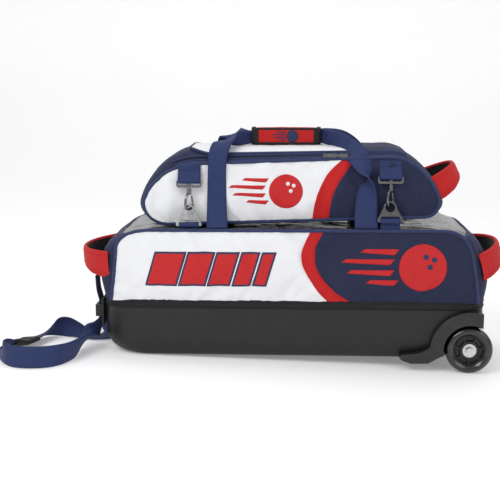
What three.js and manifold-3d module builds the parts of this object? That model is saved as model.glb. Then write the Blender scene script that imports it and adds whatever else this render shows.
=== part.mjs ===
// Three-ball roller tote with a clip-on shoe bag, pull strap, carry straps and two wheels.
// Millimetres, +Z up. +X points to the wheel end and -Y is the front.
import * as THREE from 'three';
import { ConvexGeometry } from 'three/addons/geometries/ConvexGeometry.js';
import { mergeVertices } from 'three/addons/utils/BufferGeometryUtils.js';
import Module from 'manifold-3d';

const wasm = await Module();
wasm.setup();

// ---- driving dimensions -------------------------------------------------------------------
const BALL_RADIUS = 108; // regulation ball
const BALL_X = [-224, -4, 216]; // ball centres, 220 mm apart
const BALL_Z = 122;
const HALF_LENGTH = 350; // tray, along X
const HALF_DEPTH = 125; // tray, along Y
const TRAY_HEIGHT = 92;
const TRAY_END_RADIUS = 42; // bottom edge at the two ends
const TRAY_SIDE_RADIUS = 14; // bottom edge at front and rear
const PLAN_RADIUS = 50; // tray corners seen from above
const SHELL = 3; // tray wall
const BAND_TOP = 104; // top of the binding band
const GAP = 0.35; // clearance between neighbouring pieces
const PANEL = 3; // padded fabric thickness
const WHEEL_RADIUS = 43;
const WHEEL_WIDTH = 30;
const AXLE = [320, 18.4]; // X and Z of the axle
const WHEEL_FACE = 135; // outer face of a wheel, from the middle
const WEBBING = 38;
const WEBBING_THICK = 2.4;
// The tote leans back on its tray edge and its wheels, so it stands at this slope.
const LEAN = Math.asin(24.6 / 626);
const LIFT = TRAY_END_RADIUS * (1 - Math.cos(LEAN)) + 306 * Math.sin(LEAN);
const SHIFT_X = 12.2; // centres the box on the origin

// ---- materials ----------------------------------------------------------------------------
const paint = (color, roughness, metalness = 0, opacity = 1) =>
  new THREE.MeshStandardMaterial({ color, roughness, metalness, opacity, transparent: opacity < 1 });
const LOOK = {
  whiteFabric: paint(0xe6e6ea, 0.8),
  redFabric: paint(0xc4202a, 0.8),
  navyFabric: paint(0x27305c, 0.85),
  navyWebbing: paint(0x2b3a70, 0.8),
  blackFabric: paint(0x17181b, 0.9),
  trayPlastic: paint(0x1b1c1e, 0.55),
  housingPlastic: paint(0x2d2f32, 0.5),
  vinyl: paint(0xb9bec4, 0.15, 0, 0.45),
  foam: paint(0x3a3b3f, 0.95),
  tyre: paint(0x101113, 0.35),
  core: paint(0x1c1d20, 0.4),
  steel: paint(0xb6b8bb, 0.3, 1),
  nickel: paint(0x8d8f93, 0.28, 1),
};

// ---- solids -------------------------------------------------------------------------------
const solid = (geometry) => {
  const bare = geometry.clone();
  bare.deleteAttribute('normal');
  bare.deleteAttribute('uv');
  const welded = mergeVertices(bare, 1e-4);
  const mesh = new wasm.Mesh({
    numProp: 3,
    vertProperties: new Float32Array(welded.attributes.position.array),
    triVerts: new Uint32Array(welded.index.array),
  });
  mesh.merge();
  return new wasm.Manifold(mesh);
};

const geometryOf = (body) => {
  const mesh = body.getMesh();
  const geometry = new THREE.BufferGeometry();
  const positions = new Float32Array(mesh.vertProperties);
  geometry.setAttribute('position', new THREE.BufferAttribute(positions, 3));
  geometry.setIndex(new THREE.BufferAttribute(new Uint32Array(mesh.triVerts), 1));
  geometry.computeVertexNormals();
  return geometry;
};

const box = (x0, x1, y0, y1, z0, z1) =>
  solid(
    new THREE.BoxGeometry(x1 - x0, y1 - y0, z1 - z0).translate(
      (x0 + x1) / 2, (y0 + y1) / 2, (z0 + z1) / 2,
    ),
  );

const polygon = (points) => new THREE.Shape(points.map(([a, b]) => new THREE.Vector2(a, b)));
const EXTRUDE = { bevelEnabled: false, curveSegments: 6 };

// A shape drawn in X and Z, extruded from y0 to y1.
const alongY = (shape, y0, y1) =>
  solid(
    new THREE.ExtrudeGeometry(shape, { ...EXTRUDE, depth: y1 - y0 })
      .rotateX(Math.PI / 2)
      .translate(0, y1, 0),
  );

// A shape drawn in X and Y, extruded from z0 to z1.
const alongZ = (shape, z0, z1) =>
  solid(new THREE.ExtrudeGeometry(shape, { ...EXTRUDE, depth: z1 - z0 }).translate(0, 0, z0));

// A shape drawn in Y and Z, extruded from x0 to x1.
const YZ_TO_X = new THREE.Matrix4().makeBasis(
  new THREE.Vector3(0, 1, 0), new THREE.Vector3(0, 0, 1), new THREE.Vector3(1, 0, 0),
);
const alongX = (shape, x0, x1) =>
  solid(
    new THREE.ExtrudeGeometry(shape, { ...EXTRUDE, depth: x1 - x0 })
      .applyMatrix4(YZ_TO_X)
      .translate(x0, 0, 0),
  );

// A cylinder along Y with its axis at (x, z).
const drum = (x, z, radius, y0, y1, sides = 32) =>
  solid(
    new THREE.CylinderGeometry(radius, radius, y1 - y0, sides).translate(x, (y0 + y1) / 2, z),
  );

const roundRect = (x0, x1, y0, y1, r) => {
  const shape = new THREE.Shape();
  shape.moveTo(x0 + r, y0);
  shape.lineTo(x1 - r, y0);
  shape.absarc(x1 - r, y0 + r, r, -Math.PI / 2, 0);
  shape.lineTo(x1, y1 - r);
  shape.absarc(x1 - r, y1 - r, r, 0, Math.PI / 2);
  shape.lineTo(x0 + r, y1);
  shape.absarc(x0 + r, y1 - r, r, Math.PI / 2, Math.PI);
  shape.lineTo(x0, y0 + r);
  shape.absarc(x0 + r, y0 + r, r, Math.PI, Math.PI * 1.5);
  return shape;
};

// ---- scene graph --------------------------------------------------------------------------
const part = new THREE.Group();
const tote = new THREE.Group(); // everything that leans with the tote
tote.rotation.y = -LEAN;
tote.position.set(SHIFT_X, 0, LIFT);
const ground = new THREE.Group(); // the strap that lies on the floor
ground.position.x = SHIFT_X;
part.add(tote, ground);

const add = (name, body, material, home = tote) => {
  const mesh = new THREE.Mesh(geometryOf(body), material);
  mesh.name = name;
  home.add(mesh);
  return mesh;
};

// ---- base tray ----------------------------------------------------------------------------
const trayPlan = (inset, insetX = 0, insetY = 0) =>
  roundRect(
    -HALF_LENGTH + inset + insetX, HALF_LENGTH - inset - insetX,
    -HALF_DEPTH + inset + insetY, HALF_DEPTH - inset - insetY,
    PLAN_RADIUS - inset,
  );

const trayHull = (inset, floor, top) => {
  const points = [];
  const level = (z, insetX, insetY) => {
    for (const p of trayPlan(inset, insetX, insetY).getPoints(5)) {
      points.push(new THREE.Vector3(p.x, p.y, z));
    }
  };
  for (let k = 0; k <= 5; k += 1) {
    const a = (k / 5) * (Math.PI / 2);
    level(
      floor + (TRAY_END_RADIUS - inset) * (1 - Math.cos(a)),
      (TRAY_END_RADIUS - inset) * (1 - Math.sin(a)),
      TRAY_SIDE_RADIUS * (1 - Math.sin(a)),
    );
  }
  level(top, 0, 0);
  return solid(new ConvexGeometry(points));
};

const [AXLE_X, AXLE_Z] = AXLE;
const HOUSING_RADIUS = 72;
const WELL_RADIUS = 47.5;
const HOUSING_END_X = 343;

// The fender's outline: an arch over the wheel that runs down into a flat foot.
const housingOutline = (grow) => {
  const shape = new THREE.Shape();
  const r = HOUSING_RADIUS + grow;
  shape.moveTo(HOUSING_END_X + grow, AXLE_Z + 40);
  shape.lineTo(HOUSING_END_X + grow, AXLE_Z + r * 0.94);
  shape.absarc(AXLE_X, AXLE_Z, r, 1.24, Math.PI * 0.97, false);
  shape.quadraticCurveTo(AXLE_X - 84, 15 + grow, 222, 13 + grow);
  shape.lineTo(198 - grow, 11 + grow);
  shape.quadraticCurveTo(188 - grow, 5, 200 - grow, -1 - grow);
  shape.lineTo(214, -6 - grow);
  shape.lineTo(246, -5.5 - grow);
  shape.quadraticCurveTo(258 + grow, 2, AXLE_X - 44, 12);
  shape.lineTo(AXLE_X - 30, 30);
  return shape;
};

for (const [side, sign] of [['front', -1], ['rear', 1]]) {
  const span = (a, b) => (sign < 0 ? [-b, -a] : [a, b]);
  const well = drum(AXLE_X, AXLE_Z, WELL_RADIUS, ...span(102, 140));
  const open = box(AXLE_X - 44, 380, ...span(102, 140), -40, AXLE_Z);
  const bolt = drum(AXLE_X, AXLE_Z, 4.3, ...span(90, 140), 24);
  const housing = alongY(housingOutline(0), ...span(97, 137)).subtract(well).subtract(open).subtract(bolt);
  add(`wheel_housing_${side}`, housing, LOOK.housingPlastic);
}

const notch = (sign) => {
  const [y0, y1] = sign < 0 ? [-140, -96.6] : [96.6, 140];
  return alongY(housingOutline(0.4), y0, y1)
    .add(box(AXLE_X - 47, 380, y0, y1, -40, AXLE_Z + 50));
};

const tray = trayHull(0, 0, TRAY_HEIGHT)
  .subtract(trayHull(SHELL, SHELL, TRAY_HEIGHT + 2))
  .subtract(notch(-1))
  .subtract(notch(1));
add('base_tray', tray, LOOK.trayPlastic);

const band = alongZ(trayPlan(-0.5), TRAY_HEIGHT + GAP, BAND_TOP)
  .subtract(alongZ(trayPlan(SHELL), TRAY_HEIGHT - 5, BAND_TOP + 5));
add('tray_binding', band, LOOK.blackFabric);

// ---- foam base with a seat for each ball ------------------------------------------------------
const ballSeat = (x) =>
  solid(new THREE.SphereGeometry(BALL_RADIUS + 1, 28, 12).translate(x, 0, BALL_Z));
let foam = trayHull(SHELL + GAP + 1, SHELL + GAP, 60).intersect(box(-400, 400, -200, 200, 0, 42));
for (const x of BALL_X) foam = foam.subtract(ballSeat(x));
for (const [y0, y1] of [[-140, -90], [90, 140]]) foam = foam.subtract(box(184, 400, y0, y1, -10, 100));
add('foam_base', foam, LOOK.foam);

// ---- tote body: front and rear panels with a bulging band of fabric between them -------------
// Outlines run anticlockwise from the lower left corner, seen from the front.
const toteFace = (i) => {
  const shape = new THREE.Shape();
  shape.moveTo(-333 + i, BAND_TOP + GAP);
  shape.lineTo(333 - i, BAND_TOP + GAP);
  shape.quadraticCurveTo(329 - i, 150, 323 - i, 175);
  shape.bezierCurveTo(318 - i, 208, 306 - i, 236 - i, 268, 236 - i);
  shape.lineTo(-262, 234.5 - i);
  shape.bezierCurveTo(-300 + i, 233 - i, -321 + i, 222 - i, -322 + i, 196);
  shape.quadraticCurveTo(-326 + i, 150, -333 + i, BAND_TOP + GAP);
  return shape;
};
const toteMiddle = (i) => {
  const shape = new THREE.Shape();
  shape.moveTo(-352 + i, BAND_TOP + GAP);
  shape.lineTo(352 - i, BAND_TOP + GAP);
  shape.quadraticCurveTo(367 - i, 150, 352 - i, 188);
  shape.bezierCurveTo(342 - i, 214, 322 - i, 240 - i, 268, 239.5 - i);
  shape.lineTo(-262, 238 - i);
  shape.bezierCurveTo(-312 + i, 234 - i, -346 + i, 214 - i, -356 + i, 186);
  shape.quadraticCurveTo(-369 + i, 150, -352 + i, BAND_TOP + GAP);
  return shape;
};

// Lofts a convex body between a face outline and a fuller middle outline.
const loft = (face, middle, inset, reach, drop) => {
  const points = [];
  const from = face(inset).getPoints(6);
  const to = middle(inset).getPoints(6);
  for (const [share, fullness] of [[1, 0], [0.93, 0.45], [0.8, 0.8], [0.5, 1]]) {
    for (const sign of [-1, 1]) {
      from.forEach((p, k) => {
        const x = THREE.MathUtils.lerp(p.x, to[k].x, fullness);
        const z = THREE.MathUtils.lerp(p.y, to[k].y, fullness);
        points.push(new THREE.Vector3(x, sign * share * reach, z));
        if (drop && k < 2) points.push(new THREE.Vector3(x, sign * share * reach, z - drop));
      });
    }
  }
  return solid(new ConvexGeometry(points));
};

const REACH = HALF_DEPTH - PANEL - GAP; // where the band meets the front and rear panels
const toteBand = loft(toteFace, toteMiddle, 0, REACH, 0)
  .subtract(loft(toteFace, toteMiddle, PANEL, REACH, 8))
  .subtract(alongY(toteFace(PANEL), -200, 200));
const WINDOW = [-318, 318];
const [w0, w1] = WINDOW;
const pick = (body, x0, x1) => body.intersect(box(x0, x1, -200, 200, -10, 500));
add('left_end_panel', pick(toteBand, -400, w0 - GAP), LOOK.navyFabric);
add('top_window', pick(toteBand, w0, w1), LOOK.vinyl);
add('right_end_panel', pick(toteBand, w1 + GAP, 400), LOOK.navyFabric);

// The curved stripe: its left and right edges, from the bottom up.
const STRIPE_LEFT = [[74, 92], [40, 132], [20, 166], [15, 190], [20, 212], [34, 242]];
const STRIPE_RIGHT = [[58, 242], [43, 212], [40, 190], [46, 163], [72, 129], [122, 92]];
const curve = (points, count) =>
  new THREE.SplineCurve(points.map(([a, b]) => new THREE.Vector2(a, b)))
    .getPoints(count)
    .map((p) => [p.x, p.y]);

// Cuts a panel into the part left of the stripe, the stripe and the part right of it.
const cutByStripe = (panel, left, right, y0, y1) => {
  const far = 600;
  const leftEdge = curve(left, 14);
  const rightEdge = curve(right, 14);
  const low = leftEdge[0][1];
  const high = leftEdge[14][1];
  const shift = (points, dx) => points.map(([x, z]) => [x + dx, z]);
  const area = (points) => alongY(polygon(points), y0 - 2, y1 + 2);
  return [
    panel.intersect(area([[-far, low], ...shift(leftEdge, -GAP), [-far, high]])),
    panel.intersect(area([...leftEdge, ...rightEdge].reverse())),
    panel.intersect(area([...shift(rightEdge, GAP), [far, low], [far, high]])),
  ];
};

const toteFront = alongY(toteFace(0), -HALF_DEPTH, -HALF_DEPTH + PANEL);
const toteCuts = cutByStripe(toteFront, STRIPE_LEFT, STRIPE_RIGHT, -HALF_DEPTH, -HALF_DEPTH + PANEL);
['front_panel_white', 'front_panel_stripe', 'front_panel_navy'].forEach((name, i) => {
  add(name, toteCuts[i], [LOOK.whiteFabric, LOOK.redFabric, LOOK.navyFabric][i]);
});
add('rear_panel', alongY(toteFace(0), HALF_DEPTH - PANEL, HALF_DEPTH), LOOK.navyFabric);

// ---- shoe bag -------------------------------------------------------------------------------
const SHOE_DEPTH = 93; // half depth
const shoeFace = (i) => {
  const shape = new THREE.Shape();
  shape.moveTo(-228, 241 + i);
  shape.lineTo(236, 257 + i);
  shape.bezierCurveTo(254 - i, 258 + i, 262 - i, 270, 262 - i, 284);
  shape.bezierCurveTo(258 - i, 314, 222 - i, 366 - i, 170, 365 - i);
  shape.lineTo(-176, 352 - i);
  shape.bezierCurveTo(-224 + i, 350 - i, -262 + i, 320 - i, -274 + i, 284);
  shape.bezierCurveTo(-276 + i, 262, -258 + i, 241 + i, -228, 241 + i);
  return shape;
};
const shoeMiddle = (i) => {
  const shape = new THREE.Shape();
  shape.moveTo(-228, 241 + i);
  shape.lineTo(236, 257 + i);
  shape.bezierCurveTo(262 - i, 258 + i, 275 - i, 268, 274 - i, 282);
  shape.bezierCurveTo(268 - i, 318, 222 - i, 377 - i, 170, 378 - i);
  shape.lineTo(-186, 376 - i);
  shape.bezierCurveTo(-234 + i, 374 - i, -276 + i, 322 - i, -286 + i, 282);
  shape.bezierCurveTo(-290 + i, 260, -270 + i, 241 + i, -228, 241 + i);
  return shape;
};
const SHOE_REACH = SHOE_DEPTH - PANEL - GAP;
const shoeBand = loft(shoeFace, shoeMiddle, 0, SHOE_REACH, 0)
  .subtract(loft(shoeFace, shoeMiddle, PANEL, SHOE_REACH, 0))
  .subtract(alongY(shoeFace(PANEL), -200, 200));
// The lid is the top of the band, cut off along the zip.
const lidCut = alongY(polygon([[-204, 340], [-204, 500], [204, 500], [204, 340]]), -200, 200);
const lidGap = alongY(
  polygon([[-204 - GAP, 330], [204 + GAP, 330], [204 + GAP, 500], [-204 - GAP, 500]]), -200, 200,
);
add('shoe_bag_lid', shoeBand.intersect(lidCut), LOOK.whiteFabric);
add('shoe_bag_gusset', shoeBand.subtract(lidGap), LOOK.navyFabric);

const SHOE_STRIPE_LEFT = [[32, 230], [34, 257], [39, 288], [50, 315], [67, 342], [112, 380]];
const SHOE_STRIPE_RIGHT = [[140, 380], [104, 351], [82, 321], [69, 291], [64, 258], [61, 230]];
const shoeFront = alongY(shoeFace(0), -SHOE_DEPTH, -SHOE_DEPTH + PANEL);
const shoeCuts = cutByStripe(
  shoeFront, SHOE_STRIPE_LEFT, SHOE_STRIPE_RIGHT, -SHOE_DEPTH, -SHOE_DEPTH + PANEL,
);
['shoe_bag_front_white', 'shoe_bag_front_stripe', 'shoe_bag_front_navy'].forEach((name, i) => {
  add(name, shoeCuts[i], [LOOK.whiteFabric, LOOK.redFabric, LOOK.navyFabric][i]);
});
// The zip slider rides on the front edge of the lid between the two legs of the carry strap.
const slider = box(82, 96, -95.6, -93.4, 364.5, 371.5)
  .add(box(74, 84, -95.2, -93.8, 366, 370))
  .add(box(52, 76, -95.2, -93.8, 364.5, 371.5));
add('zip_slider', slider, LOOK.nickel);

// ---- wheels ---------------------------------------------------------------------------------
// A closed profile of [radius, offset along the axle] turned about the axle.
const turned = (profile, sides) =>
  solid(
    new THREE.LatheGeometry(
      [...profile, profile[0]].map(([r, h]) => new THREE.Vector2(r, h)), sides,
    ),
  );

const CORE_RADIUS = 28;
const BEARING_RADIUS = 12.5;
const AXLE_RADIUS = 4;
const half = WHEEL_WIDTH / 2;
const tyreProfile = [
  [CORE_RADIUS + 0.3, -half + 4], [CORE_RADIUS + 3, -half + 2], [35, -half], [39, -half + 1.5],
  [42, -half + 5], [WHEEL_RADIUS, -half + 10], [WHEEL_RADIUS, half - 10], [42, half - 5],
  [39, half - 1.5], [35, half], [CORE_RADIUS + 3, half - 2], [CORE_RADIUS + 0.3, half - 4],
];
const coreProfile = [
  [BEARING_RADIUS + 0.3, -half + 3], [17, -half + 3], [18.5, -4], [24.5, -4], [25.5, -half + 4],
  [CORE_RADIUS, -half + 4], [CORE_RADIUS, half - 4], [25.5, half - 4], [24.5, 4], [18.5, 4],
  [17, half - 3], [BEARING_RADIUS + 0.3, half - 3],
];
const bearingProfile = [
  [AXLE_RADIUS + 0.06, -4], [BEARING_RADIUS, -4], [BEARING_RADIUS, 4], [AXLE_RADIUS + 0.06, 4],
];

for (const [side, sign] of [['front', -1], ['rear', 1]]) {
  const middle = sign * (WHEEL_FACE - half);
  const place = (mesh) => mesh.position.set(AXLE_X, middle, AXLE_Z);
  place(add(`wheel_tyre_${side}`, turned(tyreProfile, 32), LOOK.tyre));
  let core = turned(coreProfile, 24);
  for (let k = 0; k < 8; k += 1) {
    const a = (k / 8) * Math.PI * 2;
    const window = new THREE.CylinderGeometry(2.4, 2.4, 12, 6);
    core = core.subtract(solid(window.translate(21.5 * Math.cos(a), 0, 21.5 * Math.sin(a))));
  }
  place(add(`wheel_core_${side}`, core, LOOK.core));
  const bearing = add(`wheel_bearing_${side}`, turned(bearingProfile, 32), LOOK.steel);
  place(bearing);
  bearing.position.y = middle + sign * 8;
  // The bolt passes through the bearing, the wheel and the housing's inner wall.
  const y = (v) => sign * v;
  const shaft = drum(0, 0, AXLE_RADIUS, ...[y(93), y(137)].sort((a, b) => a - b));
  const head = drum(0, 0, 7, ...[y(134.2), y(138)].sort((a, b) => a - b), 6);
  const nut = drum(0, 0, 7, ...[y(92), y(96)].sort((a, b) => a - b), 6);
  const boltMesh = add(`axle_bolt_${side}`, shaft.add(head).add(nut), LOOK.steel);
  boltMesh.position.set(AXLE_X, 0, AXLE_Z);
}

// ---- padded grab handles --------------------------------------------------------------------
// A band bowed out in plan. It narrows towards its middle, and its ends are sewn tabs.
const grabHandle = (spread, bow, height, thick) => {
  const outer = new THREE.Shape();
  outer.moveTo(0, -spread);
  outer.bezierCurveTo(bow * 0.6, -spread * 0.78, bow, -spread * 0.46, bow, 0);
  outer.bezierCurveTo(bow, spread * 0.46, bow * 0.6, spread * 0.78, 0, spread);
  const inner = bow - thick;
  outer.lineTo(0, spread - thick - 2);
  outer.bezierCurveTo(inner * 0.6, spread * 0.72, inner, spread * 0.4, inner, 0);
  outer.bezierCurveTo(inner, -spread * 0.4, inner * 0.6, -spread * 0.72, 0, -spread + thick + 2);
  const h = height / 2;
  const side = polygon([
    [-2, -h * 0.45], [6, -h * 0.45], [12, -h], [bow * 0.5, -h * 0.85], [bow + 2, -h * 0.35],
    [bow + 2, h], [12, h], [6, h * 0.45], [-2, h * 0.45],
  ]);
  return alongZ(outer, -h, h).intersect(alongY(side, -spread - 5, spread + 5));
};

const rightHandle = add('right_grab_handle', grabHandle(105, 39, 42, 7), LOOK.redFabric);
rightHandle.position.set(353.8, 0, 172);
rightHandle.rotation.y = -0.25;
const leftHandle = add('left_grab_handle', grabHandle(105, 47, 42, 7), LOOK.redFabric);
leftHandle.position.set(-356, 0, 167);
leftHandle.rotation.set(0, -0.06, Math.PI);
const shoeHandle = add('shoe_bag_handle', grabHandle(75, 44, 40, 6), LOOK.redFabric);
shoeHandle.position.set(268, 0, 312);
shoeHandle.rotation.y = -0.45;

// ---- flat webbing ---------------------------------------------------------------------------
// Each station is [x, y, z, width direction x, y, z, width]. A station is added halfway between
// each pair. The webbing's thickness lies across both the run and the width.
const smooth = (stations) => {
  const last = stations.length - 1;
  const path = new THREE.CatmullRomCurve3(stations.map(([x, y, z]) => new THREE.Vector3(x, y, z)));
  return Array.from({ length: 2 * last + 1 }, (_, k) => {
    const near = stations[Math.floor(k / 2)];
    const next = stations[Math.ceil(k / 2)];
    const rest = [3, 4, 5, 6].map((c) => ((near[c] ?? WEBBING) + (next[c] ?? WEBBING)) / 2);
    return [...path.getPoint(k / (2 * last)).toArray(), ...rest];
  });
};

// A long box, bent through the stations.
const ribbon = (stations, thick, widen = 0) => {
  const last = stations.length - 1;
  const at = stations.map(([x, y, z]) => new THREE.Vector3(x, y, z));
  const frames = stations.map(([, , , wx, wy, wz, width], i) => {
    const run = at[Math.min(i + 1, last)].clone().sub(at[Math.max(i - 1, 0)]).normalize();
    const across = new THREE.Vector3(wx, wy, wz);
    across.addScaledVector(run, -across.dot(run)).normalize();
    const normal = new THREE.Vector3().crossVectors(run, across);
    return { across: across.multiplyScalar(width + widen), normal: normal.multiplyScalar(thick) };
  });
  const geometry = new THREE.BoxGeometry(last, 1, 1, last, 4, 1);
  const corners = geometry.attributes.position;
  for (let k = 0; k < corners.count; k += 1) {
    const i = Math.round(corners.getX(k) + last / 2);
    const corner = at[i].clone()
      .addScaledVector(frames[i].across, corners.getY(k))
      .addScaledVector(frames[i].normal, corners.getZ(k));
    corners.setXYZ(k, corner.x, corner.y, corner.z);
  }
  return solid(geometry);
};

// One carry strap, from the left leg over the shoe bag and through the grip to the right leg.
const CARRY = [
  [-138, -119, 239.5, 1, 0, 0, 38], [-139, -108, 258, 1, 0, 0, 38], [-139, -101, 290, 1, 0, 0, 38],
  [-139, -101, 345, 1, 0, 0, 37], [-136, -99, 370, 1, 0, 0, 36], [-129, -84, 388, 1, 0.1, 0, 35],
  [-116, -58, 395, 1, 0.6, 0, 32], [-102, -30, 397, 0.7, 0.7, 0.3, 28], [-86, -8, 396.5, 0.1, 0.5, 0.8, 19],
  [-60, -4.4, 396.5, 0, 0, 1, 18], [30, -4.4, 396.5, 0, 0, 1, 18], [56, -8, 396.5, -0.1, -0.4, 0.8, 19],
  [76, -30, 397, -0.5, -0.6, 0.5, 28], [97, -60, 395, -0.9, -0.5, 0.2, 33],
  [112, -84, 388, -0.9, -0.1, 0.15, 35], [121, -98, 372, -1, 0, 0.1, 36], [126, -101, 350, -1, 0, 0, 37],
  [127, -101, 310, -1, 0, 0, 38], [127, -106, 272, -1, 0, 0, 38], [127, -119, 240.5, -1, 0, 0, 38],
];
const mirrorY = ([x, y, z, wx, wy, wz, width]) => [x, -y, z, wx, -wy, wz, width];
add('carry_strap_front', ribbon(smooth(CARRY), WEBBING_THICK), LOOK.navyWebbing);
add('carry_strap_rear', ribbon(smooth(CARRY.map(mirrorY)), WEBBING_THICK), LOOK.navyWebbing);

// The padded wrap closes round both straps; its flap lies over the front.
const GRIP = [-80, 49];
const grip = alongX(roundRect(-17, 17, 381, 412, 8), ...GRIP)
  .subtract(alongX(roundRect(-13, 13, 384.5, 408.5, 3), GRIP[0] - 5, GRIP[1] + 5));
add('grip_wrap', grip, LOOK.redFabric);
const flap = box(GRIP[0] + 2, GRIP[1] - 2, -19.6, -17.6, 383, 411);
add('grip_flap', flap, LOOK.redFabric);

// ---- pull strap on the left end ---------------------------------------------------------------
const bracketY = 70;
for (const [side, sign] of [['front', -1], ['rear', 1]]) {
  const y = sign * bracketY;
  const bracket = box(-357.3, -353.3, y - 24, y + 24, 49, 99)
    .add(box(-368.3, -353.3, y - 24, y - 20.5, 66, 88))
    .add(box(-368.3, -353.3, y + 20.5, y + 24, 66, 88))
    .add(box(-368.3, -364.3, y - 24, y + 24, 66, 88));
  add(`strap_bracket_${side}`, bracket, LOOK.trayPlastic);
}

const PULL_STRAP = [
  [-373, -70, 139, 0, 1, 0], [-370, -70, 112, 0, 1, 0], [-363.8, -70, 88, 0, 1, 0],
  [-363.8, -70, 64, 0, 1, 0], [-368, -73, 46, 0.3, 0.95, 0], [-377, -84, 31, 0.65, 0.65, 0.1],
  [-384, -106, 23, 0.8, 0.1, 0.5], [-388, -135, 20.5, 0.4, 0, 0.9], [-394, -168, 20, 0.2, 0.1, 0.97],
  [-407, -200, 20, 0.2, 0.2, 0.95], [-430, -223, 20, 0.1, 0.25, 0.95], [-460, -233, 20, 0, 0.25, 0.95],
  [-488, -231, 20, -0.1, 0.2, 0.95], [-510, -214, 20, -0.1, 0.1, 0.97], [-519, -188, 20, 0.3, 0, 0.93],
  [-517, -158, 18, 0.8, -0.2, 0.5], [-507, -125, 12.5, 0.93, -0.3, 0.2], [-494, -92, 12.5, 0.93, -0.3, 0.2],
  [-482, -62, 13, 0.85, -0.3, 0.4], [-468, -36, 18, 0.45, -0.4, 0.8], [-449, -19, 20, 0, 0.1, 1],
  [-428, -13, 14, 0, 0.75, 0.65], [-406, -16, 6, 0.1, 0.98, 0.2], [-384, -20, 3.5, 0, 1, 0],
  [-365, -13, 3.5, -0.6, 0.8, 0], [-357, 6, 3.5, -1, 0.1, 0], [-358, 28, 4, -1, -0.1, 0],
  [-366, 46, 10, -1, -0.05, 0], [-372, 58, 25, -0.9, 0.4, 0], [-371, 66, 42, -0.4, 0.9, 0],
  [-364.8, 70, 57, -0.05, 1, 0], [-363.6, 70, 76, 0, 1, 0], [-364, 70, 92, 0, 1, 0],
  [-370, 70, 114, 0, 1, 0], [-373, 70, 139, 0, 1, 0],
];
const pullRun = smooth(PULL_STRAP);
add('pull_strap', ribbon(pullRun, WEBBING_THICK), LOOK.navyWebbing, ground);
// The padded sleeve is sewn round the middle of the strap.
const slot = ribbon(pullRun.slice(28, 38), WEBBING_THICK + 0.8, 0.8);
const sleeve = ribbon(pullRun.slice(30, 36), 11, 8).subtract(slot);
add('pull_grip', sleeve, LOOK.blackFabric, ground);

// ---- snap hooks, from the shoe bag down to the tote -------------------------------------------
const rod = (a, b, radius, sides = 8) => {
  const from = new THREE.Vector3(...a);
  const to = new THREE.Vector3(...b);
  const run = to.clone().sub(from);
  const geometry = new THREE.CylinderGeometry(radius, radius, run.length(), sides);
  const turn = new THREE.Quaternion().setFromUnitVectors(new THREE.Vector3(0, 1, 0), run.normalize());
  geometry.applyQuaternion(turn).translate(...from.add(to).multiplyScalar(0.5).toArray());
  return solid(geometry);
};

// The hook in its own plane: X across, Z up, the swivel post at the top.
const HOOK_RUN = [
  [0, -9], [-6, -12], [-10, -20], [-10.8, -29], [-8.4, -36], [0, -38.8], [8.4, -36], [10.6, -29.5],
];
const hookBody = () => {
  const path = new THREE.CatmullRomCurve3(HOOK_RUN.map(([x, z]) => new THREE.Vector3(x, 0, z)));
  const section = new THREE.Shape().absarc(0, 0, 2.4, 0, Math.PI * 2);
  const wire = new THREE.ExtrudeGeometry(section, { steps: 12, extrudePath: path, curveSegments: 4 });
  return solid(wire)
    .add(rod([0, 0, -12], [0, 0, -1], 4.2))
    .add(rod([0, 0, -2], [0, 0, 7], 2.2))
    .add(rod([0, 0, 5.75], [0, 0, 7.7], 3.8));
};
const gateBody = () => rod([10.2, 0, -27.8], [6.8, 0, -15.4], 1.7, 8);

const eyeBody = () =>
  alongY(roundRect(-23, 23, 1, 15, 4.5), -2, 2)
    .subtract(alongY(roundRect(-19.6, 19.6, 5.2, 11.8, 2.5), -5, 5))
    .subtract(rod([0, 0, 0], [0, 0, 6], 2.5));

const loopRing = (x0, x1, z, inner, outer) => {
  const ring = new THREE.Shape().absarc(0, z, outer, 0, Math.PI * 2);
  return alongX(ring, x0, x1).subtract(
    alongX(new THREE.Shape().absarc(0, z, inner, 0, Math.PI * 2), x0 - 1, x1 + 1),
  );
};
const tabBody = (reach) =>
  loopRing(-TAB_HALF, TAB_HALF, 13.4, 3.4, 4.9).add(box(-TAB_HALF, TAB_HALF, 3.6, reach, 13.4, 44));

const ringBody = () => {
  const plate = new THREE.Shape();
  plate.moveTo(-22.5, -2.4);
  plate.lineTo(22.5, -2.4);
  plate.lineTo(23.5, 2);
  plate.lineTo(11.8, 23.5);
  plate.absarc(0, 25.3, 11.8, 0, Math.PI);
  plate.lineTo(-23.5, 2);
  plate.holes.push(new THREE.Path().absarc(0, 25.3, 9, 0, Math.PI * 2));
  plate.holes.push(new THREE.Path([[-18.4, 2.4], [18.4, 2.4], [16, 8.4], [-16, 8.4]]
    .map(([a, b]) => new THREE.Vector2(a, b))));
  return alongY(plate, -1.4, 1.4);
};

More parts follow.
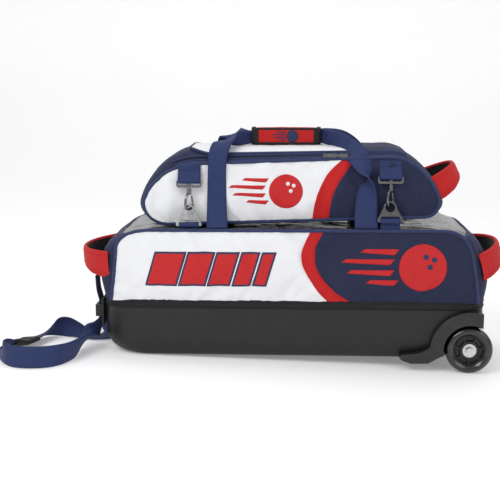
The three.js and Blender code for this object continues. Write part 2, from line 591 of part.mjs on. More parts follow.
const TAB_HALF = 19;
const HOOK_Y = 105.2;
const RING_Y = 117.4;
const EYE_Z = 309;
const HOOK_TURN = 1;
const HOOK_SETS = [['left', -189.5, 0], ['right', 173, 9]];
for (const [side, sign] of [['front', -1], ['rear', 1]]) {
  for (const [end, x, raise] of HOOK_SETS) {
    const key = `${side}_${end}`;
    const base = new THREE.Group();
    base.position.set(x, 0, raise);
    tote.add(base);
    const put = (name, body, material, y, z, turn = 0) => {
      const mesh = add(`${name}_${key}`, body, material, base);
      mesh.position.set(0, sign * y, z);
      mesh.rotation.z = (sign > 0 ? Math.PI : 0) + turn;
      return mesh;
    };
    if (sign < 0) put('hook_tab', tabBody(11.2), LOOK.navyWebbing, HOOK_Y, EYE_Z);
    put('hook_eye', eyeBody(), LOOK.nickel, HOOK_Y, EYE_Z);
    put('snap_hook', hookBody(), LOOK.nickel, HOOK_Y, EYE_Z, HOOK_TURN);
    put('hook_gate', gateBody(), LOOK.nickel, HOOK_Y, EYE_Z, HOOK_TURN);
    const ring = put('triangle_ring', ringBody(), LOOK.nickel, RING_Y, 243.6);
    ring.rotation.order = 'ZXY';
    ring.rotation.x = -0.42;
    const loop = loopRing(-15, 15, 0, 3.2, 4.6).add(box(-15, 15, -0.7, 0.7, -5.4 - raise, -3.9));
    put('ring_loop', loop, LOOK.navyWebbing, RING_Y, 243.6);
  }
}

// The rear panel of the shoe bag, with the two webbing tabs that are sewn to it.
let shoeRear = alongY(shoeFace(0), SHOE_DEPTH - PANEL, SHOE_DEPTH);
for (const [, x, raise] of HOOK_SETS) {
  const tab = tabBody(13).rotate([0, 0, 180]).translate([x, HOOK_Y, EYE_Z + raise]);
  shoeRear = shoeRear.add(tab);
}
add('shoe_bag_rear', shoeRear, LOOK.navyFabric);

export default part;
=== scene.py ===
"""Looks of a roller tote for three bowling balls, with a clip-on shoe bag, on a pale floor.

Shapes are worked out in millimetres in the bag's own level frame, +X to the wheels and -Y to the
front, and are then tilted as the bag stands: on the edge of its tray and on both wheels.
"""

import math

import bmesh
import bpy
import numpy as np
from mathutils import Matrix, Vector
from mathutils.bvhtree import BVHTree
from mathutils.geometry import delaunay_2d_cdt


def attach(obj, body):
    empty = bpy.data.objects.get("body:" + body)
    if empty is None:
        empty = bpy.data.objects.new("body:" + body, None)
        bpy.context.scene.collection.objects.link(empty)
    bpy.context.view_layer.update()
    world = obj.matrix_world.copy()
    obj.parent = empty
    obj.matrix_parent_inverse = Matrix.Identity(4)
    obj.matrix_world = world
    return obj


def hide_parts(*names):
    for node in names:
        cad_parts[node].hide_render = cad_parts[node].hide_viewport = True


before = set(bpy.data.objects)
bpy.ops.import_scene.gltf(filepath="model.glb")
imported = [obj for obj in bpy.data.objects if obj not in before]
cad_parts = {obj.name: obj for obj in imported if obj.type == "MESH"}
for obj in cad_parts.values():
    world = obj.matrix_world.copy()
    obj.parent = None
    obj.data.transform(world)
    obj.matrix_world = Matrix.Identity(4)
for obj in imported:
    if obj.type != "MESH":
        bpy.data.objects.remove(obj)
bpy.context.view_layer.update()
rng = np.random.default_rng(7)

# ---- sizes and places, in millimetres
SIDES = (("front", -1), ("rear", 1))
HALF_LENGTH, HALF_DEPTH, TRAY_HEIGHT = 350.0, 125.0, 92.0
TRAY_CORNER, TRAY_CURVE = 50.0, 42.0  # its corners from above, and its lower edge from the side
AXLE_X, AXLE_Z, WHEEL_RADIUS = 320.0, 18.4, 43.0
FENDER_RADIUS, WELL_RADIUS = 72.0, 47.8
FENDER_NEAR, FENDER_FAR, FENDER_END, WHEEL_Y = 97.5, 137.0, 343.0, 120.0
SEAM_Z = 104.4  # where the cloth meets the tray's tape
SHOE_HALF = 93.0
BAND_SHARPNESS = 5.5  # how square the bags are from front to rear
WINDOW = 318.0
LID = (-196.0, 112.0, 204.0)  # where the white part starts, where the navy part does, the end
LID_SHARE, LID_ROUNDING, ZIP_START = 0.86, 46.0, -226.0
TOTE_COLUMNS, SHOE_COLUMNS, PANEL_ROWS = (84, 10, 62), (72, 9, 44), 33
# Places along an outline where a panel's left edge, top, right edge and bottom meet.
TOTE_CORNERS, SHOE_CORNERS = (0, 36, 84, 120), (0, 48, 84, 120)
GRIP = (-80.0, 49.0)
GRIP_Z = 396.5
HOOK_SETS = (("left", -189.5, 0.0), ("right", 173.0, 9.0))
RING_Y, EYE_Z, RING_Z = 117.4, 309.0, 243.6

# The bag stands on the curve at the tray's left end and on its wheels.
TOUCH_X, SHIFT_X = 306.0, 12.2
LEAN = math.asin((WHEEL_RADIUS - AXLE_Z) / (AXLE_X + TOUCH_X))
LIFT = TRAY_CURVE * (1 - math.cos(LEAN)) + TOUCH_X * math.sin(LEAN)
TILT = Matrix.Translation((SHIFT_X / 1000, 0, LIFT / 1000)) @ Matrix.Rotation(-LEAN, 4, "Y")
LEVEL = Matrix.Translation((SHIFT_X / 1000, 0, 0))

CAMERA_PLACE = (0, -1.905, 0.53)  # metres
CAMERA_DOWN, CAMERA_LEFT, CAMERA_LENS = math.radians(10.5), math.radians(2.5211), 72.36


# ---- camera
def make_camera():
    flat = math.cos(CAMERA_DOWN)
    ahead = Vector((-math.sin(CAMERA_LEFT) * flat, math.cos(CAMERA_LEFT) * flat,
                    -math.sin(CAMERA_DOWN)))
    right = Vector((math.cos(CAMERA_LEFT), math.sin(CAMERA_LEFT), 0))
    turn = Matrix((right, right.cross(ahead), -ahead)).transposed().to_4x4()
    data = bpy.data.cameras.new("camera")
    data.lens = CAMERA_LENS
    data.sensor_width = 36
    data.clip_end = 20
    camera = bpy.data.objects.new("camera", data)
    bpy.context.scene.collection.objects.link(camera)
    camera.matrix_world = TILT @ Matrix.Translation(CAMERA_PLACE) @ turn
    bpy.context.scene.camera = camera


make_camera()


# ---- materials
def node(tree, kind, links=None, **props):
    made = tree.nodes.new("ShaderNode" + kind)
    for key, value in props.items():
        setattr(made, key, value)
    for key, value in (links or {}).items():
        if isinstance(value, bpy.types.NodeSocket):
            tree.links.new(value, made.inputs[key])
        else:
            made.inputs[key].default_value = value
    return made


def math_node(tree, operation, a, b=0.0, c=0.0):
    return node(tree, "Math", {0: a, 1: b, 2: c}, operation=operation).outputs[0]


def mix_colour(tree, share, a, b):
    mix = node(tree, "Mix", {"Factor": share}, data_type="RGBA")
    for socket, value in ((mix.inputs[6], a), (mix.inputs[7], b)):
        if isinstance(value, bpy.types.NodeSocket):
            tree.links.new(value, socket)
        else:
            socket.default_value = (*value, 1)
    return mix.outputs[2]


def noise(tree, scale, detail=3.0, stretch=None, roughness=0.5):
    where = node(tree, "TexCoord").outputs["Object"]
    if stretch:
        where = node(tree, "Mapping", {"Vector": where, "Scale": stretch}).outputs[0]
    made = node(tree, "TexNoise", {"Vector": where, "Scale": scale, "Detail": detail})
    made.inputs["Roughness"].default_value = roughness
    return made.outputs["Fac"]


def bump(tree, height, strength, distance, onto=None):
    links = {"Height": height, "Strength": strength, "Distance": distance}
    if onto:
        links["Normal"] = onto
    return node(tree, "Bump", links).outputs["Normal"]


def blend(tree, a, share_a, b, share_b):
    return math_node(tree, "MULTIPLY_ADD", a, share_a, math_node(tree, "MULTIPLY", b, share_b))


def across_uv(tree):
    """The surface's own U and V, in metres."""
    return node(tree, "SeparateXYZ", {0: node(tree, "TexCoord").outputs["UV"]}).outputs


def sine(tree, along, pitch):
    """A sine in 0..1 of a length."""
    angle = math_node(tree, "MULTIPLY", along, 2 * math.pi / pitch)
    return math_node(tree, "MULTIPLY_ADD", math_node(tree, "SINE", angle), 0.5, 0.5)


def shader(name, **values):
    material = bpy.data.materials.new(name)
    material.use_nodes = True
    surface = material.node_tree.nodes["Principled BSDF"]
    for key, value in values.items():
        surface.inputs[key.replace("_", " ")].default_value = value
    return material, material.node_tree, surface


def paint(tree, surface, colour, normal=None, gloss=None):
    """Joins a share between two colours, and a relief and a roughness where they vary."""
    tree.links.new(mix_colour(tree, *colour), surface.inputs["Base Color"])
    for value, socket in ((normal, "Normal"), (gloss, "Roughness")):
        if value is not None:
            tree.links.new(value, surface.inputs[socket])


def fabric(name, shade, tint, sheen=0.2, sheen_tint=(1, 1, 1)):
    """Plain-woven polyester: threads over and under, fibres, and a slow change of tone."""
    material, tree, surface = shader(
        name, Roughness=0.78, Sheen_Weight=sheen, Sheen_Roughness=0.35,
        Sheen_Tint=(*sheen_tint, 1), Specular_IOR_Level=0.3,
    )
    over, under = (sine(tree, across_uv(tree)[axis], 0.0011) for axis in (0, 1))
    weave = math_node(tree, "ABSOLUTE", math_node(tree, "SUBTRACT", over, under))
    share = blend(tree, weave, 0.3, noise(tree, 1400, 2), 0.4)
    share = math_node(tree, "MULTIPLY_ADD", noise(tree, 16, 4), 0.45, share)
    rumple = bump(tree, noise(tree, 55, 4, (1, 1, 1.7)), 0.5, 0.0011)
    paint(tree, surface, (share, shade, tint), bump(tree, weave, 0.45, 0.00018, rumple))
    return material


def webbing(name, shade, tint, rib=0.0024, sheen=0.08):
    """Webbing or tape: ribs along U with threads across them."""
    material, tree, surface = shader(
        name, Roughness=0.7, Sheen_Weight=sheen, Sheen_Roughness=0.3, Specular_IOR_Level=0.35,
    )
    u, v = across_uv(tree)[0], across_uv(tree)[1]
    relief = blend(tree, sine(tree, u, 0.0014), 0.35, sine(tree, v, rib), 0.65)
    share = blend(tree, relief, 0.55, noise(tree, 60, 4), 0.5)
    paint(tree, surface, (share, shade, tint), bump(tree, relief, 0.7, 0.00035))
    return material


def thread(name, shade, tint):
    """Satin stitch: slanted glossy threads."""
    material, tree, surface = shader(
        name, Roughness=0.5, Sheen_Weight=0.1, Sheen_Roughness=0.3, Specular_IOR_Level=0.35,
    )
    uv = across_uv(tree)
    lines = sine(tree, math_node(tree, "MULTIPLY_ADD", uv[0], 0.35, uv[1]), 0.0009)
    share = blend(tree, noise(tree, 300, 3), 0.5, lines, 0.5)
    paint(tree, surface, (share, shade, tint), bump(tree, lines, 0.6, 0.0003))
    return material


def moulded(name, shade, tint, rough=0.5, grain=1500.0, level=0.5, coat=0.0):
    """Moulded plastic or rubber: a fine grain, scuffs and a slow change of gloss."""
    material, tree, surface = shader(
        name, Specular_IOR_Level=level, Coat_Weight=coat, Coat_Roughness=0.15,
    )
    scuff = noise(tree, 38, 6, (1, 1, 3.5), 0.7)
    worn = node(tree, "MapRange", {"Value": scuff, 1: 0.52, 2: 0.8, 3: 0.0, 4: 1.0}).outputs[0]
    gloss = math_node(tree, "MULTIPLY_ADD", noise(tree, 90, 4), 0.16, rough - 0.08)
    paint(tree, surface, (worn, shade, tint), bump(tree, noise(tree, grain, 2), 0.3, 0.00025), gloss)
    return material


def metal(name, shade, tint, rough):
    """Plated wire and pressed sheet, a little brushed and dulled."""
    material, tree, surface = shader(name, Metallic=1.0)
    gloss = math_node(tree, "MULTIPLY_ADD", noise(tree, 500, 4, (1, 1, 0.2)), 0.22, rough - 0.1)
    paint(tree, surface, (noise(tree, 260, 4), shade, tint),
          bump(tree, noise(tree, 700, 2), 0.12, 0.0002), gloss)
    return material


def vinyl(name):
    """Clear flexible vinyl, a little cloudy, with creases that catch the light."""
    material, tree, surface = shader(
        name, Roughness=0.14, Specular_IOR_Level=0.6, Coat_Weight=0.3, Coat_Roughness=0.08,
        Alpha=0.72,
    )
    paint(tree, surface, (noise(tree, 30, 5), (0.022, 0.022, 0.022), (0.15, 0.144, 0.134)),
          bump(tree, noise(tree, 26, 5, (1, 0.5, 1), 0.65), 0.9, 0.006))
    return material


def foam_look(name):
    material, tree, surface = shader(name, Roughness=0.95, Specular_IOR_Level=0.2)
    cells = noise(tree, 420, 4)
    paint(tree, surface, (cells, (0.012, 0.012, 0.013), (0.05, 0.05, 0.053)),
          bump(tree, cells, 0.6, 0.0008))
    return material


NAVY = ((0.008, 0.011, 0.034), (0.023, 0.030, 0.076))
NAVY_BRIGHT = ((0.009, 0.017, 0.068), (0.026, 0.044, 0.150))
RED = ((0.36, 0.005, 0.006), (0.64, 0.018, 0.018))
BLACK = ((0.004, 0.004, 0.005), (0.015, 0.015, 0.017))
LOOKS = {
    "white": (fabric("white_polyester", (0.70, 0.71, 0.74), (0.93, 0.935, 0.95)), "white_fabric"),
    "red": (fabric("red_polyester", *RED, sheen=0.08, sheen_tint=(1, 0.5, 0.5)), "red_fabric"),
    "navy": (fabric("navy_polyester", *NAVY, sheen=0.07, sheen_tint=(0.6, 0.7, 1)), "navy_fabric"),
    "lining": (fabric("black_lining", *BLACK, sheen=0.1), "black_fabric"),
    "webbing": (webbing("navy_webbing", *NAVY_BRIGHT), "navy_webbing"),
    "piping": (webbing("navy_piping", (0.014, 0.022, 0.07), (0.034, 0.052, 0.15), 0.0016),
               "navy_fabric"),
    "tape": (webbing("black_tape", *BLACK, rib=0.0016, sheen=0.05), "black_fabric"),
    "red_thread": (thread("red_thread", (0.42, 0.006, 0.008), (0.70, 0.018, 0.020)), "red_fabric"),
    "navy_thread": (thread("navy_thread", (0.010, 0.016, 0.055), (0.03, 0.044, 0.13)),
                    "navy_fabric"),
    "white_thread": (thread("white_thread", (0.68, 0.69, 0.72), (0.92, 0.92, 0.94)),
                     "white_fabric"),
    "tray": (moulded("tray_shell", (0.0045, 0.0046, 0.0052), (0.012, 0.0123, 0.0135), 0.48),
             "tray_plastic"),
    "housing": (moulded("fender_plastic", (0.012, 0.0123, 0.0135), (0.032, 0.0325, 0.035),
                        0.42, 1100), "housing_plastic"),
    "tyre": (moulded("urethane", (0.0035, 0.0035, 0.004), (0.014, 0.014, 0.015),
                     0.22, 600, 0.6, 0.4), "tyre"),
    "core": (moulded("wheel_core", (0.006, 0.006, 0.007), (0.02, 0.02, 0.021), 0.35, 900),
             "core_plastic"),
    "steel": (metal("zinc_steel", (0.45, 0.45, 0.47), (0.75, 0.75, 0.76), 0.28), "steel"),
    "nickel": (metal("dark_nickel", (0.09, 0.09, 0.095), (0.26, 0.26, 0.265), 0.24), "nickel"),
    "vinyl": (vinyl("clear_vinyl"), "clear_vinyl"),
    "foam": (foam_look("foam"), "foam"),
}


# ---- meshes
def piece(name, points, faces, look, uv=None, body="tote", home=TILT, stands_for=()):
    """A smooth-shaded mesh from millimetre points, put in place and riding on a body."""
    data = bpy.data.meshes.new(name)
    data.from_pydata((np.asarray(points, float) / 1000).tolist(), [], faces)
    if uv is not None:
        corners = np.empty(len(data.loops), np.int32)
        data.loops.foreach_get("vertex_index", corners)
        layer = data.uv_layers.new(name="UVMap")
        layer.data.foreach_set("uv", (np.asarray(uv)[corners] / 1000).astype(np.float32).ravel())
    data.polygons.foreach_set("use_smooth", [True] * len(data.polygons))
    data.materials.append(LOOKS[look][0])
    data.update()
    made = bpy.data.objects.new(name, data)
    bpy.context.scene.collection.objects.link(made)
    made.matrix_world = home
    if body:
        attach(made, body)
        if stands_for:
            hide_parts(*stands_for)
    return made


def run_lengths(points, axis):
    steps = np.linalg.norm(np.diff(points, axis=axis), axis=2)
    total = np.cumsum(steps, axis=axis)
    return np.concatenate([np.zeros_like(np.take(total, [0], axis)), total], axis)


def quads(rows, columns, around=False, onward=False, flip=False, base=0):
    """The faces of a grid; around and onward join its last column and row to the first."""
    faces = []
    for r in range(rows if onward else rows - 1):
        a, b = base + r * columns, base + (r + 1) % rows * columns
        for c in range(columns if around else columns - 1):
            d = (c + 1) % columns
            faces.append((a + c, b + c, b + d, a + d) if flip else (a + c, a + d, b + d, b + c))
    return faces


def caps(rows, columns):
    return [tuple(range(columns))[::-1], tuple(range((rows - 1) * columns, rows * columns))]


def shut(grid):
    """Repeats a grid's first column as its last."""
    return np.concatenate([grid, grid[:, :1]], 1)


def lengths_uv(grid):
    return np.stack([run_lengths(grid, 1), run_lengths(grid, 0)], axis=2).reshape(-1, 2)


def sheet(name, grid, look, wrap=False, flip=False, **rest):
    """A rows x columns x 3 grid as one smooth surface, with UVs in its own lengths."""
    faces = quads(*grid.shape[:2], onward=wrap, flip=flip)
    return piece(name, grid.reshape(-1, 3), faces, look, lengths_uv(grid), **rest)


def resample(points, count, closed=False):
    points = np.asarray(points, float)
    if closed:
        points = np.vstack([points, points[:1]])
    along = np.concatenate([[0], np.cumsum(np.linalg.norm(np.diff(points, axis=0), axis=1))])
    want = np.linspace(0, along[-1], count + 1 if closed else count)
    found = np.stack([np.interp(want, along, points[:, k]) for k in range(points.shape[1])], 1)
    return found[:-1] if closed else found


def spline(points, per=8):
    """Catmull-Rom through the points, all columns alike."""
    p = np.asarray(points, float)
    p = np.vstack([2 * p[0] - p[1], p, 2 * p[-1] - p[-2]])
    found = []
    for i in range(1, len(p) - 2):
        for t in np.arange(per) / per:
            found.append(0.5 * (
                2 * p[i] + (p[i + 1] - p[i - 1]) * t
                + (2 * p[i - 1] - 5 * p[i] + 4 * p[i + 1] - p[i + 2]) * t**2
                + (3 * p[i] - p[i - 1] - 3 * p[i + 1] + p[i + 2]) * t**3
            ))
    return np.array(found + [p[-2]])


def unit(vectors):
    return vectors / np.maximum(np.linalg.norm(vectors, axis=-1, keepdims=True), 1e-9)


def tube(name, path, radius, look, closed=False, sides=8, **rest):
    """A round cord along a path."""
    path = np.asarray(path, float)
    if closed:
        run = unit(np.roll(path, -1, 0) - np.roll(path, 1, 0))
    else:
        run = unit(np.gradient(path, axis=0))
    side = np.cross(run[0], (0.13, 0.31, 0.94))
    frames = []
    for direction in run:
        side = unit(side - direction * side.dot(direction))
        frames.append((side, np.cross(direction, side)))
    turns = np.linspace(0, 2 * math.pi, sides, endpoint=False)
    rings = np.array([
        [p + radius * (math.cos(a) * s + math.sin(a) * t) for a in turns]
        for p, (s, t) in zip(path, frames)
    ])
    faces = quads(len(path), sides, around=True, onward=closed)
    if not closed:
        faces += caps(len(path), sides)
    along = run_lengths(rings, 0)[:, :1].repeat(sides, 1)
    round_it = np.broadcast_to(turns * radius, along.shape)
    uv = np.stack([along, round_it], 2).reshape(-1, 2)
    return piece(name, rings.reshape(-1, 3), faces, look, uv, **rest)


def strap(name, stations, look, thick=2.2, per=6, width=38.0, **rest):
    """Flat webbing through stations of x, y, z, the width's direction and, if given, its width."""
    table = spline([list(s) + [width] * (7 - len(s)) for s in stations], per)
    centre, half = table[:, :3], table[:, 6:7] / 2
    run = unit(np.gradient(centre, axis=0))
    across = table[:, 3:6]
    across = unit(across - run * (across * run).sum(1, keepdims=True))
    normal = np.cross(run, across)
    profile = [(-1 + k / 4, 0.5 * (1 - 0.35 * (abs(k - 4) == 4))) for k in range(9)]
    profile += [(a, -b) for a, b in reversed(profile)]
    rings = np.array([
        centre + across * half * a + normal * (thick * b) for a, b in profile
    ]).transpose(1, 0, 2)
    count, sides = rings.shape[:2]
    faces = quads(count, sides, around=True) + caps(count, sides)
    along = np.concatenate([[0], np.cumsum(np.linalg.norm(np.diff(centre, axis=0), axis=1))])
    flat = np.array([a for a, _ in profile])
    uv = np.stack([np.repeat(along[:, None], sides, 1), flat[None, :] * half], 2).reshape(-1, 2)
    return piece(name, rings.reshape(-1, 3), faces, look, uv, **rest), centre


# ---- the pull strap, which lies on the floor
PULL_STRAP = [
    (-373, -70, 139, 0, 1, 0), (-370, -70, 112, 0, 1, 0), (-363.8, -70, 88, 0, 1, 0),
    (-363.8, -70, 64, 0, 1, 0), (-368, -73, 46, 0.3, 0.95, 0), (-377, -84, 31, 0.65, 0.65, 0.1),
    (-384, -106, 23, 0.8, 0.1, 0.5), (-388, -135, 20.5, 0.4, 0, 0.9),
    (-394, -168, 20, 0.2, 0.1, 0.97), (-407, -200, 20, 0.2, 0.2, 0.95),
    (-430, -223, 20, 0.1, 0.25, 0.95), (-460, -233, 20, 0, 0.25, 0.95),
    (-488, -231, 20, -0.1, 0.2, 0.95), (-510, -214, 20, -0.1, 0.1, 0.97),
    (-519, -188, 20, 0.3, 0, 0.93), (-517, -158, 18, 0.8, -0.2, 0.5),
    (-507, -125, 12.5, 0.93, -0.3, 0.2), (-494, -92, 12.5, 0.93, -0.3, 0.2),
    (-482, -62, 13, 0.85, -0.3, 0.4), (-468, -36, 18, 0.45, -0.4, 0.8),
    (-449, -19, 20, 0, 0.1, 1), (-428, -13, 14, 0, 0.75, 0.65), (-406, -16, 6, 0.1, 0.98, 0.2),
    (-384, -20, 3.5, 0, 1, 0), (-365, -13, 3.5, -0.6, 0.8, 0), (-357, 6, 3.5, -1, 0.1, 0),
    (-358, 28, 4, -1, -0.1, 0), (-366, 46, 10, -1, -0.05, 0), (-372, 58, 25, -0.9, 0.4, 0),
    (-371, 66, 42, -0.4, 0.9, 0), (-364.8, 70, 57, -0.05, 1, 0), (-363.6, 70, 76, 0, 1, 0),
    (-364, 70, 92, 0, 1, 0), (-370, 70, 114, 0, 1, 0), (-373, 70, 139, 0, 1, 0),
]


def make_pull_strap():
    pull, centre = strap("pull_strap_webbing", PULL_STRAP, "webbing", thick=2.4, home=LEVEL,
                         stands_for=["pull_strap"])
    sleeve, _ = strap("pull_strap_sleeve", PULL_STRAP[15:18], "tape", thick=9.5, width=44,
                      per=10, home=LEVEL, stands_for=["pull_grip"])


make_pull_strap()


# ---- outlines
def trace(start, *segments, count=24):
    """Points of an outline: each segment is its control points, if any, and its end."""
    parts = [np.array([start], float)]
    at = np.array(start, float)
    t = (np.arange(count) + 1)[:, None] / count
    for segment in segments:
        points = np.array([at, *segment], float)
        n = len(segment)
        weights = np.hstack([math.comb(n, k) * (1 - t) ** (n - k) * t**k for k in range(n + 1)])
        parts.append(weights @ points)
        at = points[-1]
    return np.vstack(parts)


# Both outlines of a bag run clockwise from the lower left, with matching points.
TOTE_FACE = trace(
    (-333, SEAM_Z), ((-326, 150), (-322, 196)), ((-321, 222), (-300, 233), (-262, 234.5)),
    ((268, 236),), ((306, 236), (318, 208), (323, 175)), ((329, 150), (333, SEAM_Z)),
)
TOTE_MIDDLE = trace(
    (-352, SEAM_Z), ((-369, 150), (-356, 186)), ((-346, 214), (-312, 234), (-262, 238)),
    ((268, 239.5),), ((322, 240), (342, 214), (352, 188)), ((367, 150), (352, SEAM_Z)),
)
SHOE_FACE = trace(
    (-228, 241), ((-258, 241), (-276, 262), (-274, 284)), ((-262, 320), (-224, 350), (-176, 352)),
    ((170, 365),), ((222, 366), (258, 314), (262, 284)), ((262, 270), (254, 258), (236, 257)),
    ((-228, 241),),
)[:-1]
SHOE_MIDDLE = trace(
    (-228, 241), ((-270, 241), (-290, 260), (-286, 282)), ((-276, 322), (-234, 374), (-186, 376)),
    ((170, 378),), ((222, 377), (268, 318), (274, 282)), ((275, 268), (262, 258), (236, 257)),
    ((-228, 241),),
)[:-1]
STRIPE = (
    [(74, 92), (40, 132), (20, 166), (15, 190), (20, 212), (34, 242)],
    [(122, 92), (72, 129), (46, 163), (40, 190), (43, 212), (58, 242)],
)
SHOE_STRIPE = (
    [(32, 230), (34, 257), (39, 288), (50, 315), (67, 342), (112, 380)],
    [(61, 230), (64, 258), (69, 291), (82, 321), (104, 351), (140, 380)],
)


def clip_between(curve, low, high):
    """The part of a rising curve between two heights, given as functions of x."""
    keep = [p for p in curve if low(p[0]) < p[1] < high(p[0])]
    first, last = keep[0], keep[-1]
    return np.vstack([(first[0], low(first[0])), keep, (last[0], high(last[0]))])


def coons(left, right, bottom, top):
    """A smooth grid inside four edges."""
    v = np.linspace(0, 1, len(left))[:, None, None]
    u = np.linspace(0, 1, len(bottom))[None, :, None]
    sides = left[:, None] * (1 - u) + right[:, None] * u
    ends = bottom[None] * (1 - v) + top[None] * v
    corners = (
        bottom[0] * (1 - u) * (1 - v) + bottom[-1] * u * (1 - v)
        + top[0] * (1 - u) * v + top[-1] * u * v
    )
    return sides + ends - corners


def creases(x, z, count, low, high, slope, strength):
    """Soft ridges and hollows, each along a short line."""
    height = np.zeros_like(x)
    for _ in range(count):
        cx, cz = rng.uniform(low[0], high[0]), rng.uniform(low[1], high[1])
        angle = rng.uniform(*slope)
        reach = rng.uniform(14, 46)
        wide = rng.uniform(4, 10)
        size = rng.uniform(-1, 1) * strength
        along = (x - cx) * math.cos(angle) + (z - cz) * math.sin(angle)
        off = -(x - cx) * math.sin(angle) + (z - cz) * math.cos(angle)
        height += size * np.exp(-((off / wide) ** 2) - (along / reach) ** 4)
    return height


def relax(grid, outward, cap):
    """Settles padded fabric by a cloth simulation, its edges sewn down, moving it at most cap."""
    rows, columns = grid.shape[:2]
    obj = sheet("settling", grid, "white", body=None, home=Matrix.Identity(4))
    edge = [r * columns + c for r in range(rows) for c in range(columns)
            if r in (0, rows - 1) or c in (0, columns - 1)]
    group = obj.vertex_groups.new(name="sewn")
    group.add(edge, 1.0, "REPLACE")
    cloth = obj.modifiers.new("cloth", "CLOTH")
    chosen = {
        "vertex_group_mass": "sewn", "quality": 6, "mass": 0.25, "tension_stiffness": 25,
        "compression_stiffness": 25, "bending_stiffness": 1.2, "shrink_min": -0.022,
        "use_pressure": True, "uniform_pressure_force": outward,
    }
    for key, value in chosen.items():
        setattr(cloth.settings, key, value)
    cloth.settings.effector_weights.gravity = 0
    cloth.collision_settings.use_collision = False
    cloth.point_cache.frame_start = 1
    cloth.point_cache.frame_end = 20
    scene = bpy.context.scene
    for step in range(1, 21):
        scene.frame_set(step)
    settled = obj.evaluated_get(bpy.context.evaluated_depsgraph_get()).to_mesh()
    found = np.empty(len(settled.vertices) * 3, np.float32)
    settled.vertices.foreach_get("co", found)
    bpy.data.objects.remove(obj)
    scene.frame_set(1)
    moved = found.reshape(rows, columns, 3).astype(float) * 1000 - grid
    far = np.linalg.norm(moved, axis=2, keepdims=True)
    return grid + moved * np.minimum(1, cap / np.maximum(far, 1e-6))


def striped_panel(outline, corners, stripes, y, low, high, columns, puff, folds):
    """The front of a bag: a grid in three parts whose joins follow the stripe's two edges.

    low and high give the height of its bottom and top edges at any X.
    """
    left_line, right_line = (clip_between(spline(s, 12), low, high) for s in stripes)
    start, top_left, top_right, end = corners
    # The top edge is cut where each stripe edge meets it.
    cuts = [left_line[-1], right_line[-1]]
    parts = []
    for k, (a, b) in enumerate(((-1e9, cuts[0][0]), (cuts[0][0], cuts[1][0]), (cuts[1][0], 1e9))):
        part = [p for p in outline[top_left:top_right + 1] if a + 0.5 < p[0] < b - 0.5]
        parts.append(np.array([*cuts[max(k - 1, 0):k], *part, *cuts[k:k + 1]]))
    base = [outline[start], left_line[0], right_line[0], outline[end]]
    edges = [outline[start:top_left + 1], left_line, right_line, outline[top_right:end + 1][::-1]]
    grids = []
    for k in range(3):
        n = columns[k] + 1
        grids.append(coons(
            resample(edges[k], PANEL_ROWS), resample(edges[k + 1], PANEL_ROWS),
            resample(np.array([base[k], base[k + 1]]), n), resample(parts[k], n),
        ))
    flat = np.concatenate([grids[0], grids[1][:, 1:], grids[2][:, 1:]], 1)
    u = np.linspace(-1, 1, flat.shape[1])[None, :]
    v = np.linspace(-1, 1, PANEL_ROWS)[:, None]
    rise = puff * (1 - abs(u) ** 14) * (1 - abs(v) ** 5)
    rise = rise + folds(flat[..., 0], flat[..., 1]) * (1 - abs(u) ** 30) * (1 - abs(v) ** 12)
    for seam in (columns[0], columns[0] + columns[1]):
        step = np.arange(flat.shape[1])[None, :] - seam
        rise = rise - 0.9 * np.exp(-(step / 0.9) ** 2)
    return np.stack([flat[..., 0], y - rise, flat[..., 1]], 2)


def tote_folds(x, z):
    up = creases(x, z, 30, (-320, 108), (320, 140), (0.3, 1.2), 1.5)
    down = creases(x, z, 26, (-310, 200), (310, 230), (-1.3, -0.3), 1.2)
    broad = creases(x / 2, z / 2, 16, (-150, 55), (150, 115), (-0.5, 0.5), 1.5)
    return up + down + broad


def shoe_folds(x, z):
    return creases(x, z, 44, (-260, 245), (255, 350), (-1.0, 0.4), 1.4)


def make_fronts():
    tote = striped_panel(
        TOTE_FACE, TOTE_CORNERS, STRIPE, -HALF_DEPTH, lambda x: SEAM_Z,
        lambda x: 234.5 + 1.5 * (x + 262) / 530, TOTE_COLUMNS, 3.2, tote_folds,
    )
    shoe = striped_panel(
        SHOE_FACE, SHOE_CORNERS, SHOE_STRIPE, -SHOE_HALF, lambda x: 241 + 16 * (x + 228) / 464,
        lambda x: 352 + 13 * (x + 176) / 346, SHOE_COLUMNS, 3.0, shoe_folds,
    )
    return relax(tote, 0.6, 5.0), relax(shoe, 0.6, 5.0)


def show_parts(prefix, grid, columns, stands_for):
    start = 0
    for count, look, part in zip(columns, ("white", "red", "navy"), ("white", "stripe", "navy")):
        cut = grid[:, start:start + count + 1]
        sheet(f"{prefix}_{part}_cloth", cut, look, stands_for=[f"{stands_for}_{part}"])
        start += count


tote_front, shoe_front = make_fronts()
show_parts("tote_front", tote_front, TOTE_COLUMNS, "front_panel")
show_parts("shoe_front", shoe_front, SHOE_COLUMNS, "shoe_bag_front")


def plain_panel(name, outline, corners, y, columns, puff, folds, stands_for):
    """The rear of a bag, in one piece."""
    start, top_left, top_right, end = corners
    flat = coons(
        resample(outline[start:top_left + 1], PANEL_ROWS),
        resample(outline[top_right:end + 1][::-1], PANEL_ROWS),
        resample(outline[[start, end]], columns), resample(outline[top_left:top_right + 1], columns),
    )
    u = np.linspace(-1, 1, columns)[None, :]
    v = np.linspace(-1, 1, PANEL_ROWS)[:, None]
    rise = (puff + folds(flat[..., 0], flat[..., 1])) * (1 - abs(u) ** 14) * (1 - abs(v) ** 6)
    grid = np.stack([flat[..., 0], y + rise, flat[..., 1]], 2)
    sheet(name, grid, "navy", flip=True, stands_for=[stands_for])


